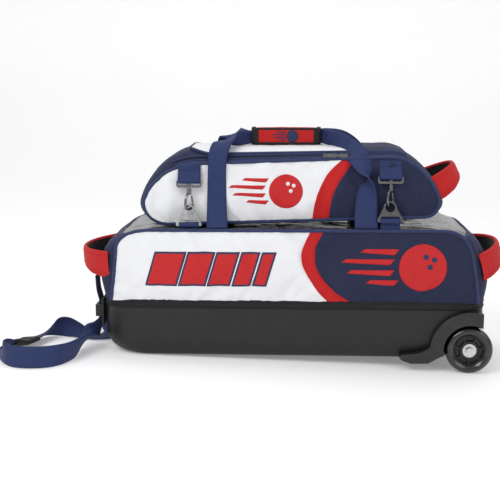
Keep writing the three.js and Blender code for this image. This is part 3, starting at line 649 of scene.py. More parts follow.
plain_panel("tote_rear_cloth", TOTE_FACE, TOTE_CORNERS, HALF_DEPTH, 150, 3.2, tote_folds,
            "rear_panel")
plain_panel("shoe_rear_cloth", SHOE_FACE, SHOE_CORNERS, SHOE_HALF, 120, 3.0, shoe_folds,
            "shoe_bag_rear")


# ---- the bands between the front and rear panels
def across_at(face, middle, t, reach):
    """Points at shares t of a bag's depth, one row of t for each row wanted."""
    full = (1 - np.abs(t) ** BAND_SHARPNESS)[..., None]
    flat = face[None] * (1 - full) + middle[None] * full
    y = np.broadcast_to(t * reach, flat.shape[:2])
    return np.stack([flat[..., 0], y, flat[..., 1]], 2)


def band(face, middle, reach, across=61, low=-1.0, high=1.0):
    """A grid from front to rear along a stretch of the two outlines."""
    return across_at(face, middle, np.linspace(low, high, across)[:, None], reach)


def outward(grid):
    normal = np.cross(np.gradient(grid, axis=1), np.gradient(grid, axis=0))
    return unit(normal)


def rumpled(grid, count, strength, fade=True):
    """Pushes a grid in and out along its own normals by soft creases."""
    s, t = run_lengths(grid, 1), run_lengths(grid, 0)
    height = creases(s, t, count, (0, 0), (s.max(), t.max()), (-1.4, 1.4), strength)
    if fade:
        rows = np.sin(np.linspace(0, math.pi, grid.shape[0]))[:, None] ** 0.4
        columns = np.sin(np.linspace(0, math.pi, grid.shape[1]))[None, :] ** 0.3
        height = height * rows * columns
    return grid + outward(grid) * height[..., None]


def between(points, other, low, high):
    """The stretch of two matching outlines where the second one's x lies between two values."""
    keep = [k for k in range(len(other)) if low <= other[k][0] <= high]
    return points[keep[0]:keep[-1] + 1], other[keep[0]:keep[-1] + 1]


def pair(first, second, count):
    both = resample(np.hstack([second, first]), count)
    return both[:, 2:], both[:, :2]


TOTE_HALVES = {
    "left": (TOTE_FACE[:len(TOTE_FACE) // 2], TOTE_MIDDLE[:len(TOTE_FACE) // 2]),
    "right": (TOTE_FACE[len(TOTE_FACE) // 2:], TOTE_MIDDLE[len(TOTE_FACE) // 2:]),
}


def make_tote_band():
    for side, low, high in (("left", -400, -WINDOW), ("right", WINDOW, 400)):
        face, middle = pair(*between(*TOTE_HALVES[side], low, high), 44)
        grid = rumpled(band(face, middle, 124, 71), 40, 1.3)
        sheet(f"{side}_end_cloth", grid, "navy", stands_for=[f"{side}_end_panel"])
    face, middle = pair(*between(TOTE_FACE, TOTE_MIDDLE, -WINDOW - 6, WINDOW + 6), 180)
    grid = rumpled(band(face, middle, 123.5, 71), 160, 1.6)
    x = grid[..., 0]
    sag = 5 * np.clip(1 - (x / 330) ** 4, 0, 1) * np.cos(grid[..., 1] / 124 * math.pi / 2)
    grid[..., 2] -= sag
    sheet("window_vinyl", grid, "vinyl", stands_for=["top_window"])


def make_window_edges():
    arch = np.sin(np.linspace(0, math.pi, 7)) ** 0.5
    for side, sign in (("left", -1), ("right", 1)):
        low, high = sorted((sign * (WINDOW - 5), sign * (WINDOW + 7)))
        grid = band(*pair(*between(*TOTE_HALVES[side], low, high), 7), 123.6, 71)
        grid = grid + outward(grid) * (1.6 * arch)[None, :, None]
        sheet(f"window_binding_{side}", grid, "piping")
    for side, sign in SIDES:
        face, middle = pair(*between(TOTE_FACE, TOTE_MIDDLE, -WINDOW, WINDOW), 120)
        low, high = sorted((sign * 0.905, sign * 1.0))
        grid = band(face, middle, 123.8, 7, low, high)
        grid = grid + outward(grid) * (1.3 * arch)[:, None, None]
        sheet(f"window_edge_{side}", grid, "piping" if sign > 0 else "vinyl")


make_tote_band()
make_window_edges()


def make_shoe_band():
    face, middle = pair(*(np.vstack([line, line[:1]]) for line in (SHOE_FACE, SHOE_MIDDLE)), 330)
    grid = rumpled(band(face, middle, SHOE_HALF - 0.5), 190, 1.3)
    sheet("shoe_gusset_cloth", grid, "navy", stands_for=["shoe_bag_gusset"])


make_shoe_band()
# The stretch of the outlines that the lid and zips lie on, with room to spare at both ends.
SHOE_TOP = (SHOE_FACE[30:110], SHOE_MIDDLE[30:110])


def top_at(face, middle, t):
    return across_at(face, middle, t, SHOE_HALF - 0.5)


def lid_shares(x, t):
    """The lid narrows to a rounded left end."""
    span = np.clip((LID[0] + LID_ROUNDING - x) / LID_ROUNDING, 0, 1)
    return t * (np.sqrt(np.clip(1 - span**2, 0, 1)) * 0.6 + 0.4)


def make_lid():
    """A white part and a navy one, each a little above the cloth, with a binding round both."""
    for part, low, high, count in (("white", *LID[:2], 90), ("navy", *LID[1:], 30)):
        face, middle = pair(*between(*SHOE_TOP, low, high), count)
        t = lid_shares(middle[:, 0][None, :], np.linspace(-LID_SHARE, LID_SHARE, 51)[:, None])
        grid = rumpled(top_at(face, middle, t) + np.array([0, 0, 3.4]), 40, 1.0)
        sheet(f"shoe_lid_{part}_cloth", grid, part,
              stands_for=["shoe_bag_lid"] if part == "white" else ())
    face, middle = pair(*between(*SHOE_TOP, LID[0], LID[2]), 110)
    rims = [top_at(face, middle, lid_shares(middle[:, 0][None, :], np.array([[t]])))[0]
            for t in (-LID_SHARE, LID_SHARE)]
    share = np.linspace(-1, 1, 14)[1:-1]
    end = top_at(face[:1], middle[:1], share[:, None] * LID_SHARE * 0.4)[:, 0]
    path = np.vstack([rims[0][::-1], end, rims[1]]) + np.array([0, 0, 2.6])
    tube("shoe_lid_binding", resample(path, 220), 2.7, "piping")


def make_zip():
    """Two tapes with the closed teeth between them, along the front and rear of the lid."""
    rows = ((0.885, 2.6, "piping"), (0.925, 1.5, "tape"), (0.955, 2.4, "piping"),
            (0.985, 2.6, "piping"))
    face, middle = pair(*between(*SHOE_TOP, ZIP_START, LID[2]), 90)
    for side, sign in SIDES:
        for k, (t, radius, look) in enumerate(rows):
            line = top_at(face, middle, np.full((1, 90), sign * t))[0] + np.array([0, 0, 0.6])
            tube(f"shoe_zip_{side}_{k}", line, radius, look)


make_lid()
make_zip()


# ---- piping and stitches
for bag, outline, reach, closed in (("tote", TOTE_FACE, 125.2, False), ("shoe", SHOE_FACE, 93.2, True)):
    for side, sign in SIDES:
        path = np.insert(outline, 1, sign * reach, axis=1)
        tube(f"{bag}_piping_{side}", resample(path, 260, closed), 3.1, "piping", closed, 10)


def stitches(name, path, look, pitch=4.0, length=2.6, radius=0.42, **rest):
    """A row of short raised stitches along a path."""
    path = np.asarray(path, float)
    total = np.linalg.norm(np.diff(path, axis=0), axis=1).sum()
    fine = resample(path, max(2, int(total / pitch) * 4))
    points, faces = [], []
    for a, b in zip(fine[:-2:4], fine[1:-1:4]):
        run = unit(b - a)
        side = unit(np.cross(run, (0.2, 0.4, 0.9)))
        up = np.cross(run, side)
        faces += quads(4, 5, around=True, base=len(points))
        for s, r in ((0, 0.3), (0.2, 1), (0.8, 1), (1, 0.3)):
            for turn in np.arange(5) * 2 * math.pi / 5:
                points.append(a + run * length * s
                              + radius * r * (math.cos(turn) * side + math.sin(turn) * up))
    uv = np.asarray(points)[:, [0, 2]]
    return piece(name, points, faces, look, uv, **rest)


for prefix, grid, columns in (("stripe", tote_front, TOTE_COLUMNS), ("shoe", shoe_front, SHOE_COLUMNS)):
    for side, column in (("left", columns[0] + 1), ("right", sum(columns[:2]) - 1)):
        stitches(f"{prefix}_stitch_{side}", grid[:, column] - np.array([0, 0.35, 0]), "red_thread")


# ---- draped emblems
def surface_of(grid):
    return BVHTree.FromPolygons([Vector(p) for p in grid.reshape(-1, 3)], quads(*grid.shape[:2]))


def emblem(name, loops, tree, look, height=1.0, lift=0.5, **rest):
    """Raised embroidery: each loop of X and Z points is filled and laid on the cloth."""
    points, faces = [], []
    for loop in loops:
        loop = resample(np.asarray(loop, float), max(12, int(perimeter(loop) / 2.5)), closed=True)
        (x0, z0), (x1, z1) = loop.min(0), loop.max(0)
        grid = [
            (x, z) for x in np.arange(x0, x1, 3.0) for z in np.arange(z0, z1, 3.0)
            if inside((x, z), loop) and edge_distance((x, z), loop) > 1.8
        ]
        inner = [tuple(p) for p in inset_loop(loop, 1.1)
                 if inside(p, loop) and edge_distance(p, loop) > 0.6]
        flat = [tuple(p) for p in loop] + inner + grid
        made = delaunay_2d_cdt([Vector(p) for p in flat], [], [list(range(len(loop)))], 1, 1e-5)
        base = len(points)
        for p in made[0]:
            hit = tree.ray_cast(Vector((p[0], -400, p[1])), Vector((0, 1, 0)))[0]
            rise = lift - 0.3 + (height + 0.3) * min(1, edge_distance(p, loop)) ** 0.6
            points.append((p[0], (hit.y if hit is not None else -100) - rise, p[1]))
        faces += [[base + k for k in face] for face in made[2]]
    uv = np.asarray(points)[:, [0, 2]]
    return piece(name, points, faces, look, uv, **rest)


def perimeter(loop):
    loop = np.asarray(loop, float)
    return np.linalg.norm(np.roll(loop, -1, 0) - loop, axis=1).sum()


def inset_loop(loop, amount):
    run = unit(np.roll(loop, -1, 0) - np.roll(loop, 1, 0))
    area = 0.5 * np.sum(loop[:, 0] * np.roll(loop[:, 1], -1) - np.roll(loop[:, 0], -1) * loop[:, 1])
    inward = np.stack([-run[:, 1], run[:, 0]], 1) * (1 if area > 0 else -1)
    return loop + inward * amount


def edge_distance(p, loop):
    a, b = loop, np.roll(loop, -1, 0)
    d = b - a
    t = np.clip(((np.asarray(p) - a) * d).sum(1) / np.maximum((d * d).sum(1), 1e-12), 0, 1)
    return float(np.linalg.norm(a + d * t[:, None] - np.asarray(p), axis=1).min())


def inside(p, loop):
    a, b = loop, np.roll(loop, -1, 0)
    crosses = (a[:, 1] > p[1]) != (b[:, 1] > p[1])
    at = a[:, 0] + (p[1] - a[:, 1]) / np.where(b[:, 1] == a[:, 1], 1e-9, b[:, 1] - a[:, 1]) * (
        b[:, 0] - a[:, 0])
    return bool(np.sum(crosses & (at > p[0])) % 2)


def disc(cx, cz, radius, count=40):
    a = np.linspace(0, 2 * math.pi, count, endpoint=False)
    return np.stack([cx + radius * np.cos(a), cz + radius * np.sin(a)], 1)


def ball_motif(cx, cz, size):
    """A rolling ball: a disc with three finger holes, and speed bars that trail to its left."""
    ball = disc(cx + size * 0.30, cz, size * 0.26)
    holes = [disc(cx + size * 0.30 + dx * size, cz + dz * size, size * 0.034, 16)
             for dx, dz in ((0.03, 0.12), (0.12, 0.09), (0.075, 0.01))]
    bars = []
    for z, long in ((0.17, 0.40), (0.06, 0.56), (-0.06, 0.50), (-0.17, 0.34)):
        end = 0.30 - math.sqrt(max(0.30**2 - z**2, 0)) - 0.03
        x1 = cx + size * end
        x0 = x1 - size * long
        h = size * 0.032
        bars.append([(x0, cz + size * z - h * 0.2), (x1 - h, cz + size * z - h),
                     (x1 + h * 0.6, cz + size * z + h), (x0 + size * 0.05, cz + size * z + h)])
    return [ball, *bars], holes


def make_emblems():
    front, shoe = surface_of(tote_front), surface_of(shoe_front)
    blocks, rims = [], []
    low, high, lean, edge = 137, 194, 17.0, 3.2
    for x, wide in ((-265, 52), (-205, 44), (-153, 36), (-108, 28), (-71, 20)):
        blocks.append([(x, low), (x + wide, low), (x + wide + lean, high), (x + lean, high)])
        rims.append([(x - edge - 1, low - edge), (x + wide + edge - 1, low - edge),
                     (x + wide + lean + edge + 1, high + edge), (x + lean - edge + 1, high + edge)])
    emblem("wordless_bars_outline", rims, front, "navy_thread", 0.7)
    emblem("wordless_bars", blocks, front, "red_thread", 0.7, lift=1.1)
    solid, holes = ball_motif(182, 171, 165)
    emblem("ball_motif_tote", solid, front, "red_thread", 1.1)
    emblem("ball_motif_tote_holes", holes, front, "navy_thread", 0.5, lift=1.6)
    solid, holes = ball_motif(-50, 303, 118)
    emblem("ball_motif_shoe", solid, shoe, "red_thread", 1.0)
    emblem("ball_motif_shoe_holes", holes, shoe, "white_thread", 0.5, lift=1.5)


make_emblems()


# ---- base tray
def rounded(a, b, radius, arc, count):
    """A rounded rectangle of half sides a and b, as a ring of evenly spaced points."""
    ring = []
    for k, (sa, sb) in enumerate(((1, 1), (-1, 1), (-1, -1), (1, -1))):
        for quarter in np.linspace(0, math.pi / 2, arc):
            turn = quarter + k * math.pi / 2
            ring.append((sa * (a - radius) + radius * math.cos(turn),
                         sb * (b - radius) + radius * math.sin(turn)))
    return resample(np.array(ring), count, closed=True)


def tub_ring(shrink, z, corner=TRAY_CORNER, side=40):
    """The tray's outline from above at one height, its half sides shrunk by two amounts."""
    ring = rounded(HALF_LENGTH - shrink[0], HALF_DEPTH - shrink[1], corner, 14, 4 * side)
    return np.column_stack([ring, np.full(len(ring), z)])


def fender_edge(grow):
    """The fender's outer side: an arch over the wheel that runs down into a flat foot."""
    r = FENDER_RADIUS + grow
    arch = [
        (AXLE_X + r * math.cos(a), AXLE_Z + r * math.sin(a))
        for a in np.linspace(1.24, math.pi * 0.97, 22)
    ]
    foot = trace(arch[-1], ((236, 15 + grow), (222, 13 + grow)), ((198 - grow, 11 + grow),),
                 ((188 - grow, 5), (200 - grow, -1 - grow)), ((214, -6 - grow),),
                 ((246, -5.5 - grow),), ((258 + grow, 2), (276, 12)), count=7)
    return [(FENDER_END + grow, arch[0][1]), *arch, *(tuple(map(float, p)) for p in foot[1:])]


def fender_outline(grow):
    """The whole fender from the side, with the round well that its wheel turns in."""
    well = [
        (AXLE_X + WELL_RADIUS * math.cos(a), AXLE_Z + WELL_RADIUS * math.sin(a))
        for a in np.linspace(math.pi, 1.07, 18)
    ]
    return [*fender_edge(grow), *well, (FENDER_END + grow, well[-1][1])]


def fender_room():
    """What the tray leaves free for a fender, its well filled in."""
    return fender_edge(0.4) + [(276, -40), (420, -40), (420, 68.4), (343.4, 68.4)]


def prism(outline, y0, y1, base=0):
    """Points and faces of an outline of X and Z drawn out along Y."""
    count = len(outline)
    points = [(x, y, z) for y in (y0, y1) for x, z in outline]
    faces = [tuple(range(base, base + count)),
             tuple(range(base + 2 * count - 1, base + count - 1, -1))]
    return points, faces + quads(2, count, around=True, flip=True, base=base)


def cutter(name, outline):
    """Two closed prisms, at the front and the rear, used to cut another mesh."""
    points, faces = prism(outline, -140, -96.6)
    more = prism(outline, 96.6, 140, len(points))
    made = piece(name, points + more[0], faces + more[1], "tray", body=None)
    tidy_normals(made)
    return made


def tidy_normals(obj):
    bm = bmesh.new()
    bm.from_mesh(obj.data)
    bmesh.ops.remove_doubles(bm, verts=bm.verts, dist=1e-6)
    bmesh.ops.recalc_face_normals(bm, faces=bm.faces)
    bm.to_mesh(obj.data)
    bm.free()


def make_tray():
    """An open tub whose lower edge is rounded, more so at its ends, cut out for both fenders."""
    rings = []
    for a in np.linspace(0.0, math.pi / 2, 12):
        shrink = (TRAY_CURVE * (1 - math.sin(a)), 14 * (1 - math.sin(a)))
        z = TRAY_CURVE * (1 - math.cos(a))
        rings.append(tub_ring(shrink, z))
    for z in np.linspace(44, TRAY_HEIGHT, 12):
        swell = 0.8 * math.sin((z - 44) / 48 * math.pi)
        rings.append(tub_ring((-swell * 0.4, -swell), z))
    rings += [tub_ring((3, 3), z, TRAY_CORNER - 3) for z in (TRAY_HEIGHT, 45)]
    grid = shut(np.array(rings))
    rows, columns = grid.shape[:2]
    faces = quads(rows, columns)
    faces.append(tuple(range(columns - 1))[::-1])
    faces.append(tuple((rows - 1) * columns + c for c in range(columns - 1)))
    uv = lengths_uv(grid)
    tray = piece("tray_shell", grid.reshape(-1, 3), faces, "tray", uv, body=None)
    tidy_normals(tray)
    carve(tray, fender_room())
    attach(tray, "tote")
    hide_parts("base_tray")
    tray.data.set_sharp_from_angle(angle=math.radians(40))


def carve(target, outline):
    """Cuts the room for both fenders out of a mesh."""
    tool = cutter("notch", outline)
    fix = target.modifiers.new("notch", "BOOLEAN")
    fix.operation = "DIFFERENCE"
    fix.solver = "EXACT"
    fix.use_self = True
    fix.object = tool
    bpy.context.view_layer.update()
    cut = target.evaluated_get(bpy.context.evaluated_depsgraph_get())
    done = bpy.data.meshes.new_from_object(cut)
    target.modifiers.remove(fix)
    target.data = done
    bpy.data.objects.remove(tool)


make_tray()


def make_tray_band():
    """The tape that binds the cloth to the tray, gently uneven along its upper edge."""
    def ring_at(out, z):
        return tub_ring((-out, -out), z, TRAY_CORNER + out, 60)

    profile = ((-2.5, 90.2), (0.9, 90.6), (1.5, 92.5), (1.0, 95), (1.4, 98), (1.1, 101.5),
               (1.5, 104.2), (0.6, 106.2), (-2.5, 106.4))
    rings = np.array([ring_at(out, z) for out, z in profile])
    angle = np.linspace(0, 2 * math.pi, rings.shape[1], endpoint=False)
    wave = 0.5 * np.sin(angle * 9 + 1) + 0.35 * np.sin(angle * 23)
    share = np.array([0.2 if z < 100 else 1.0 for _, z in profile])
    rings[..., 2] += wave * share[:, None]
    sheet("tray_binding_tape", shut(rings), "tape", stands_for=["tray_binding"])
    for z in (93.2, 103.0):
        ring = ring_at(1.9, z)
        stitches(f"tray_stitch_{int(z)}", np.vstack([ring, ring[:1]]), "tape", 4.5, 3.0, 0.5)


make_tray_band()


# ---- fenders and wheels
def make_fender(side, sign):
    far = sign * FENDER_FAR
    points, faces = prism(fender_outline(-0.2), sign * FENDER_NEAR, far)
    made = piece(f"fender_{side}", points, faces, "housing", stands_for=[f"wheel_housing_{side}"])
    bm = bmesh.new()
    bm.from_mesh(made.data)
    bmesh.ops.recalc_face_normals(bm, faces=bm.faces)
    rim = [e for e in bm.edges if all(abs(v.co.y * 1000 - far) < 0.01 for v in e.verts)]
    bmesh.ops.bevel(bm, geom=rim, offset=0.0055, segments=5, profile=0.5, affect="EDGES",
                    clamp_overlap=True)
    for face in bm.faces:
        face.smooth = True
    bm.to_mesh(made.data)
    bm.free()
    made.data.set_sharp_from_angle(angle=math.radians(35))


def turned(name, profile, centre, look, body, sides=72, **rest):
    """A profile of radius and offset along the axle, turned about the axle."""
    profile = np.asarray(profile, float)
    a = np.linspace(0, 2 * math.pi, sides + 1)
    grid = np.array([
        np.stack([centre[0] + r * np.cos(a), np.full(sides + 1, centre[1] + h),
                  centre[2] + r * np.sin(a)], 1)
        for r, h in profile
    ])
    return sheet(name, grid, look, wrap=True, body=body, flip=True, **rest)


def make_wheel(side, sign):
    middle = (AXLE_X, sign * WHEEL_Y, AXLE_Z)
    body = f"wheel_{side}"
    tread = spline([
        (28.3, -11), (31, -13), (35, -15), (39, -13.8), (42, -10.5), (43, -5), (43, 0), (43, 5),
        (42, 10.5), (39, 13.8), (35, 15), (31, 13), (28.3, 11),
    ], 5)
    turned(f"tyre_{side}", tread, middle, "tyre", body, stands_for=[f"wheel_tyre_{side}"])
    core = [
        (12.8, -12), (16, -12.3), (17.2, -12), (18.4, -6), (24.2, -5.5), (25.4, -11), (26.5, -11.6),
        (28, -11), (28, 11), (26.5, 11.6), (25.4, 11), (24.2, 5.5), (18.4, 6), (17.2, 12),
        (16, 12.3), (12.8, 12),
    ]
    turned(f"core_{side}", resample(core, 60), middle, "core", body,
           stands_for=[f"wheel_core_{side}"])
    make_spokes(side, np.array(middle), body)


def make_spokes(side, middle, body):
    """Seven straight bars between the core's hub and its rim."""
    box = ((0, 1, 3, 2), (4, 6, 7, 5), (0, 4, 5, 1), (2, 3, 7, 6), (0, 2, 6, 4), (1, 5, 7, 3))
    points, faces = [], []
    for k in range(7):
        a = k * 2 * math.pi / 7 + 0.2
        out = np.array([math.cos(a), 0, math.sin(a)])
        around = np.array([-math.sin(a), 0, math.cos(a)])
        faces += [tuple(len(points) + corner for corner in face) for face in box]
        points += [middle + out * r + around * w + np.array([0, h, 0])
                   for r in (17.0, 25.6) for w in (-1.5, 1.5) for h in (-11, 11)]
    spokes = piece(f"spokes_{side}", points, faces, "core", body=body)
    bevel = spokes.modifiers.new("edge", "BEVEL")
    bevel.width = 0.0006
    bevel.segments = 2


for side, sign in SIDES:
    make_fender(side, sign)
    make_wheel(side, sign)


# ---- grab handles
def handle_frame(origin, turn, half_turn=False):
    place = Matrix.Translation(Vector(origin) / 1000) @ Matrix.Rotation(turn, 4, "Y")
    if half_turn:
        place = place @ Matrix.Rotation(math.pi, 4, "Z")
    return TILT @ place


def make_handle(name, body, home, spread, bow, height, thick):
    """A bowed padded band, red outside and black inside, bound along both edges."""
    def arc(s, b):
        line = trace((-0.4 * bow, -s * 1.11), ((b * 0.5, -s * 0.8), (b, -s * 0.46), (b, 0)),
                     ((b, s * 0.46), (b * 0.5, s * 0.8), (-0.4 * bow, s * 1.11)), count=30)
        return resample(line, 81)

    def sideways(line):
        return unit(np.gradient(line, axis=0))[:, ::-1] * np.array([1, -1])

    outer, inner = arc(spread, bow), arc(spread - thick - 1, bow - thick)
    top = np.full(81, height / 2)
    low = np.interp(outer[:, 0], [0, bow * 0.5, bow], np.array([-0.5, -0.43, -0.2]) * height)
    puckers = 0.6 * np.sin(np.arange(81) * 1.1) * np.exp(-((outer[:, 0] - 6) / 6) ** 2)
    for label, line, look, sign in (("outside", outer, "red", 1), ("inside", inner, "lining", -1)):
        rows = []
        for t in np.linspace(0, 1, 15):
            swell = (1.2 + puckers) * 4 * t * (1 - t)
            flat = line + sideways(line) * sign * swell[:, None]
            rows.append(np.insert(flat, 2, low + (top - low) * t, axis=1))
        sheet(f"{name}_{label}", np.array(rows), look, flip=sign < 0, body=body, home=home,
              stands_for=[body] if label == "outside" else ())
    for label, edge, step in (("top", top, -4.5), ("bottom", low, 4.5)):
        path = np.insert((outer + inner) / 2, 2, edge, axis=1)
        tube(f"{name}_binding_{label}", path, thick * 0.52, "red", body=body, home=home, sides=10)
        row = np.insert(outer + sideways(outer), 2, edge + step, axis=1)
        stitches(f"{name}_stitch_{label}", row[3:-3], "red_thread", 3.6, 2.4, 0.4, body=body,
                 home=home)


make_handle("left_handle", "left_grab_handle",
            handle_frame((-356, 0, 167), -0.06, True), 105, 47, 42, 7)
make_handle("right_handle", "right_grab_handle",
            handle_frame((353.8, 0, 172), -0.25), 105, 39, 42, 7)
make_handle("shoe_handle", "shoe_bag_handle",
            handle_frame((268, 0, 312), -0.45), 75, 44, 40, 6)


# ---- carry straps and their grip
CARRY_LEFT = [
    (-138, -121, 238, 1, 0, 0, 38), (-139, -110, 258, 1, 0, 0, 37), (-139.5, -102, 290, 1, 0, 0, 35),
    (-139, -101, 345, 1, 0, 0, 33), (-137, -98, 370, 1, 0.05, 0.05, 34),
    (-130, -84, 388, 0.95, 0.1, 0.15, 35), (-118, -58, 394.5, 0.75, 0.45, 0.3, 33),
    (-100, -30, 394, 0.5, 0.5, 0.6, 28), (-82, -12, 394, 0.1, 0.2, 0.96, 23),
    (-60, -5, 396.5, 0, 0, 1, 22),
]
CARRY_RIGHT = [
    (30, -5, 396.5, 0, 0, 1, 22), (52, -10, 397, -0.1, 0.1, 0.95, 26),
    (70, -32, 393, -0.1, -0.2, 0.9, 32), (92, -66, 384, 0.35, 0.1, 0.85, 37),
    (114, -92, 367, 0.9, 0.1, 0.4, 39), (130, -103, 343, 0.75, 0.6, 0.3, 38),
    (134, -106, 322, -0.35, 0.9, 0.15, 36), (131, -104, 298, -0.97, 0.25, 0, 37),
    (130, -107, 270, -1, 0, 0, 40), (130, -121, 239, -1, 0, 0, 42),
]


def mirrored(stations):
    return [(x, -y, z, wx, -wy, wz, w) for x, y, z, wx, wy, wz, w in stations]


def make_carry_straps():
    for side, change in (("front", list), ("rear", mirrored)):
        strap(f"carry_strap_{side}_left", change(CARRY_LEFT), "webbing", 2.4, 8,
              stands_for=[f"carry_strap_{side}"])
        strap(f"carry_strap_{side}_right", change(CARRY_RIGHT), "webbing", 2.4, 8)


make_carry_straps()


def make_grip():
    """The padded wrap round both straps, with a tape round each end."""
    middle, half = sum(GRIP) / 2, (GRIP[1] - GRIP[0]) / 2
    rows = []
    for x in np.linspace(GRIP[0] + 1, GRIP[1] - 1, 34):
        t = (x - middle) / half
        ring = rounded(16.2 - 0.8 * t * t, 15.2 - 0.7 * t**4, 7.5, 8, 40)
        ring[:, 1] += GRIP_Z + 0.8 * (1 - t * t)
        rows.append(np.insert(ring, 0, x, axis=1))
    grid = rumpled(shut(np.array(rows)), 26, -0.5, fade=False)
    grid[:, -1] = grid[:, 0]
    sheet("grip_pad", grid, "red", stands_for=["grip_wrap"])
    for end, x in (("left", GRIP[0] + 3.5), ("right", GRIP[1] - 3.5)):
        tape = []
        for dx, out in ((-4, -0.6), (-3.6, 0.9), (0, 1.3), (3.6, 0.9), (4, -0.4)):
            ring = rounded(15.8 + out, 15 + out, 7.5, 8, 40) + np.array([0, GRIP_Z + 0.3])
            tape.append(np.insert(ring, 0, x + dx, axis=1))
        sheet(f"grip_tape_{end}", shut(np.array(tape)), "tape")


def make_grip_flap():
    """The flap on the front of the grip, which opens about its top edge."""
    centre = np.array([sum(GRIP) / 2, GRIP_Z + 0.7])
    outline = rounded(60.5, 13.2, 7, 14, 96)
    rings = []
    for share, y in ((1.0, -17.7), (1.0, -19.2), (0.985, -19.9), (0.8, -20.4), (0.4, -20.6),
                     (0.05, -20.6)):
        rings.append(np.insert(centre + outline * share, 1, y, axis=1))
    sheet("grip_flap_pad", shut(np.array(rings)), "red", body="grip_flap",
          stands_for=["grip_flap"])
    tube("grip_flap_binding", np.insert(centre + outline, 1, -19.0, axis=1), 2.3, "tape",
         closed=True, body="grip_flap")
    for end, x in (("left", GRIP[0] + 8), ("right", GRIP[1] - 8)):
        rows = [[(x + dx, -20.7 - 0.35 * (1 - (dx / 5) ** 2), z)
                 for z in np.linspace(385.5, 409, 10)] for dx in (-5, -2.5, 0, 2.5, 5)]
        sheet(f"grip_flap_tape_{end}", np.array(rows), "tape", flip=True, body="grip_flap")
    top = surface_of(np.array([[(x, -20.5, z) for x in (-90, 60)] for z in (370, 420)], float))
    emblem("grip_motif", ball_motif(-17, 397, 44)[0], top, "navy_thread", 0.8, body="grip_flap")


make_grip()
make_grip_flap()


# ---- webbing tabs and loops of the snap hooks
def profile_strap(name, line, x, half, look, **rest):
    """Webbing of one width whose side view is a line of Y and Z points."""
    line = resample(spline(line, 6), 40)
    stations = [(x, y, z, 1, 0, 0, 2 * half) for y, z in line]
    return strap(name, stations, look, 1.6, 2, **rest)[0]


def make_tabs():
    for side, sign in SIDES:
        for end, x, up in HOOK_SETS:
            key = f"{side}_{end}"
            bar = EYE_Z + up + 13.4
            tab = [(92.5, 352 + up), (97.2, 348 + up), (99.2, 338 + up), (104.5, 328 + up),
                   (109.4, bar + 2), (109.2, bar - 2.6), (105.2, bar - 4.6), (101.2, bar - 2),
                   (99.8, bar + 5), (96.5, bar + 12)]
            tab = [(sign * y, z) for y, z in tab]
            stands = [f"hook_tab_{key}"] if side == "front" else ()
            profile_strap(f"hook_tab_webbing_{key}", tab, x, 20.5, "webbing", stands_for=stands)
            for k, (y, z) in enumerate(((98.4, 347.5), (99.9, 341.0))):
                row = [(x + dx, sign * (y + 0.6), z + up) for dx in np.linspace(-18, 18, 12)]
                stitches(f"tab_stitch_{key}_{k}", row, "navy_thread", 3.4, 2.3, 0.45)
            centre = RING_Z + up
            loop = [(sign * (RING_Y + 4.2 * math.cos(a)), centre + 4.2 * math.sin(a))
                    for a in np.linspace(-2.0, 3.6, 14)]
            loop = [(sign * (RING_Y - 2.5), 235.0)] + loop + [(sign * (RING_Y + 1.5), 235.0)]
            profile_strap(f"ring_loop_webbing_{key}", loop, x, 17.5, "webbing",
                          stands_for=[f"ring_loop_{key}"])


make_tabs()


# ---- hard pieces that show as they were made
def dress(made, look):
    """Gives a CAD piece its material, and smooth shading with sharp edges."""
    made.data.materials.clear()
    made.data.materials.append(LOOKS[look][0])
    made.data.polygons.foreach_set("use_smooth", [True] * len(made.data.polygons))
    made.data.set_sharp_from_angle(angle=math.radians(38))


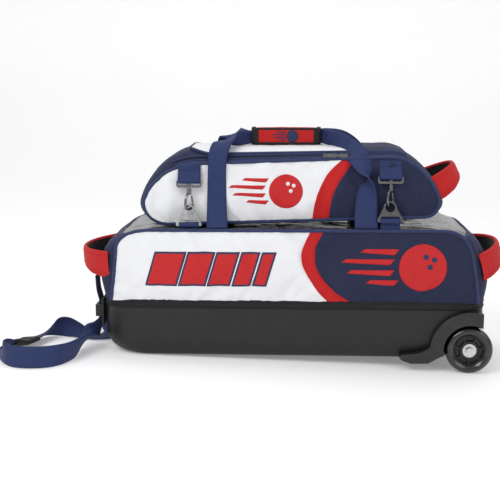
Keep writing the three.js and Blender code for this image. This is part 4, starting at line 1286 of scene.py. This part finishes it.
for node_name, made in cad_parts.items():
    if node_name.startswith(("snap_hook", "hook_gate", "hook_eye", "triangle_ring", "zip_slider")):
        dress(made, "nickel")
    elif node_name.startswith(("wheel_bearing", "axle_bolt")):
        dress(made, "steel")
    elif node_name.startswith("strap_bracket"):
        dress(made, "tray")
    elif node_name == "foam_base":
        dress(made, "foam")


# ---- floor and light
def make_stage():
    material, tree, surface = shader(
        "pale_floor", Roughness=0.85, Specular_IOR_Level=0.1, Emission_Color=(1, 1, 1, 1),
        Emission_Strength=0.2,
    )
    paint(tree, surface, (noise(tree, 3, 4), (0.86, 0.86, 0.87), (0.90, 0.90, 0.905)))
    data = bpy.data.meshes.new("floor")
    size, back = 4.0, 2.6
    profile = [(-size, 0.0), (back - 0.6, 0.0)]
    profile += [(back - 0.6 + 0.6 * math.sin(a), 0.6 - 0.6 * math.cos(a))
                for a in np.linspace(0.1, math.pi / 2, 12)]
    profile += [(back, 3.5)]
    points = [(x, y, z) for y, z in profile for x in (-size, size)]
    data.from_pydata(points, [], quads(len(profile), 2))
    data.polygons.foreach_set("use_smooth", [True] * len(data.polygons))
    data.materials.append(material)
    floor = bpy.data.objects.new("floor", data)
    bpy.context.scene.collection.objects.link(floor)


def area_light(name, place, aim, size, power):
    data = bpy.data.lights.new(name, "AREA")
    data.shape = "RECTANGLE"
    data.size, data.size_y = size
    data.energy = power
    lamp = bpy.data.objects.new(name, data)
    bpy.context.scene.collection.objects.link(lamp)
    turn = (Vector(aim) - Vector(place)).to_track_quat("-Z", "Y")
    lamp.matrix_world = Matrix.Translation(place) @ turn.to_matrix().to_4x4()


def make_light():
    world = bpy.data.worlds.new("studio")
    bpy.context.scene.world = world
    world.use_nodes = True
    background = world.node_tree.nodes["Background"]
    background.inputs["Color"].default_value = (1, 1, 1, 1)
    background.inputs["Strength"].default_value = 0.58
    area_light("key", (-1.2, -1.7, 1.9), (0, 0, 0.15), (1.4, 1.0), 24)
    area_light("fill", (1.8, -1.5, 1.2), (0.1, 0, 0.15), (1.2, 1.2), 7)
    area_light("top", (0.1, 0.5, 2.4), (0, 0, 0.2), (1.8, 1.2), 13)


make_stage()
make_light()
bpy.context.scene.view_settings.view_transform = "Standard"
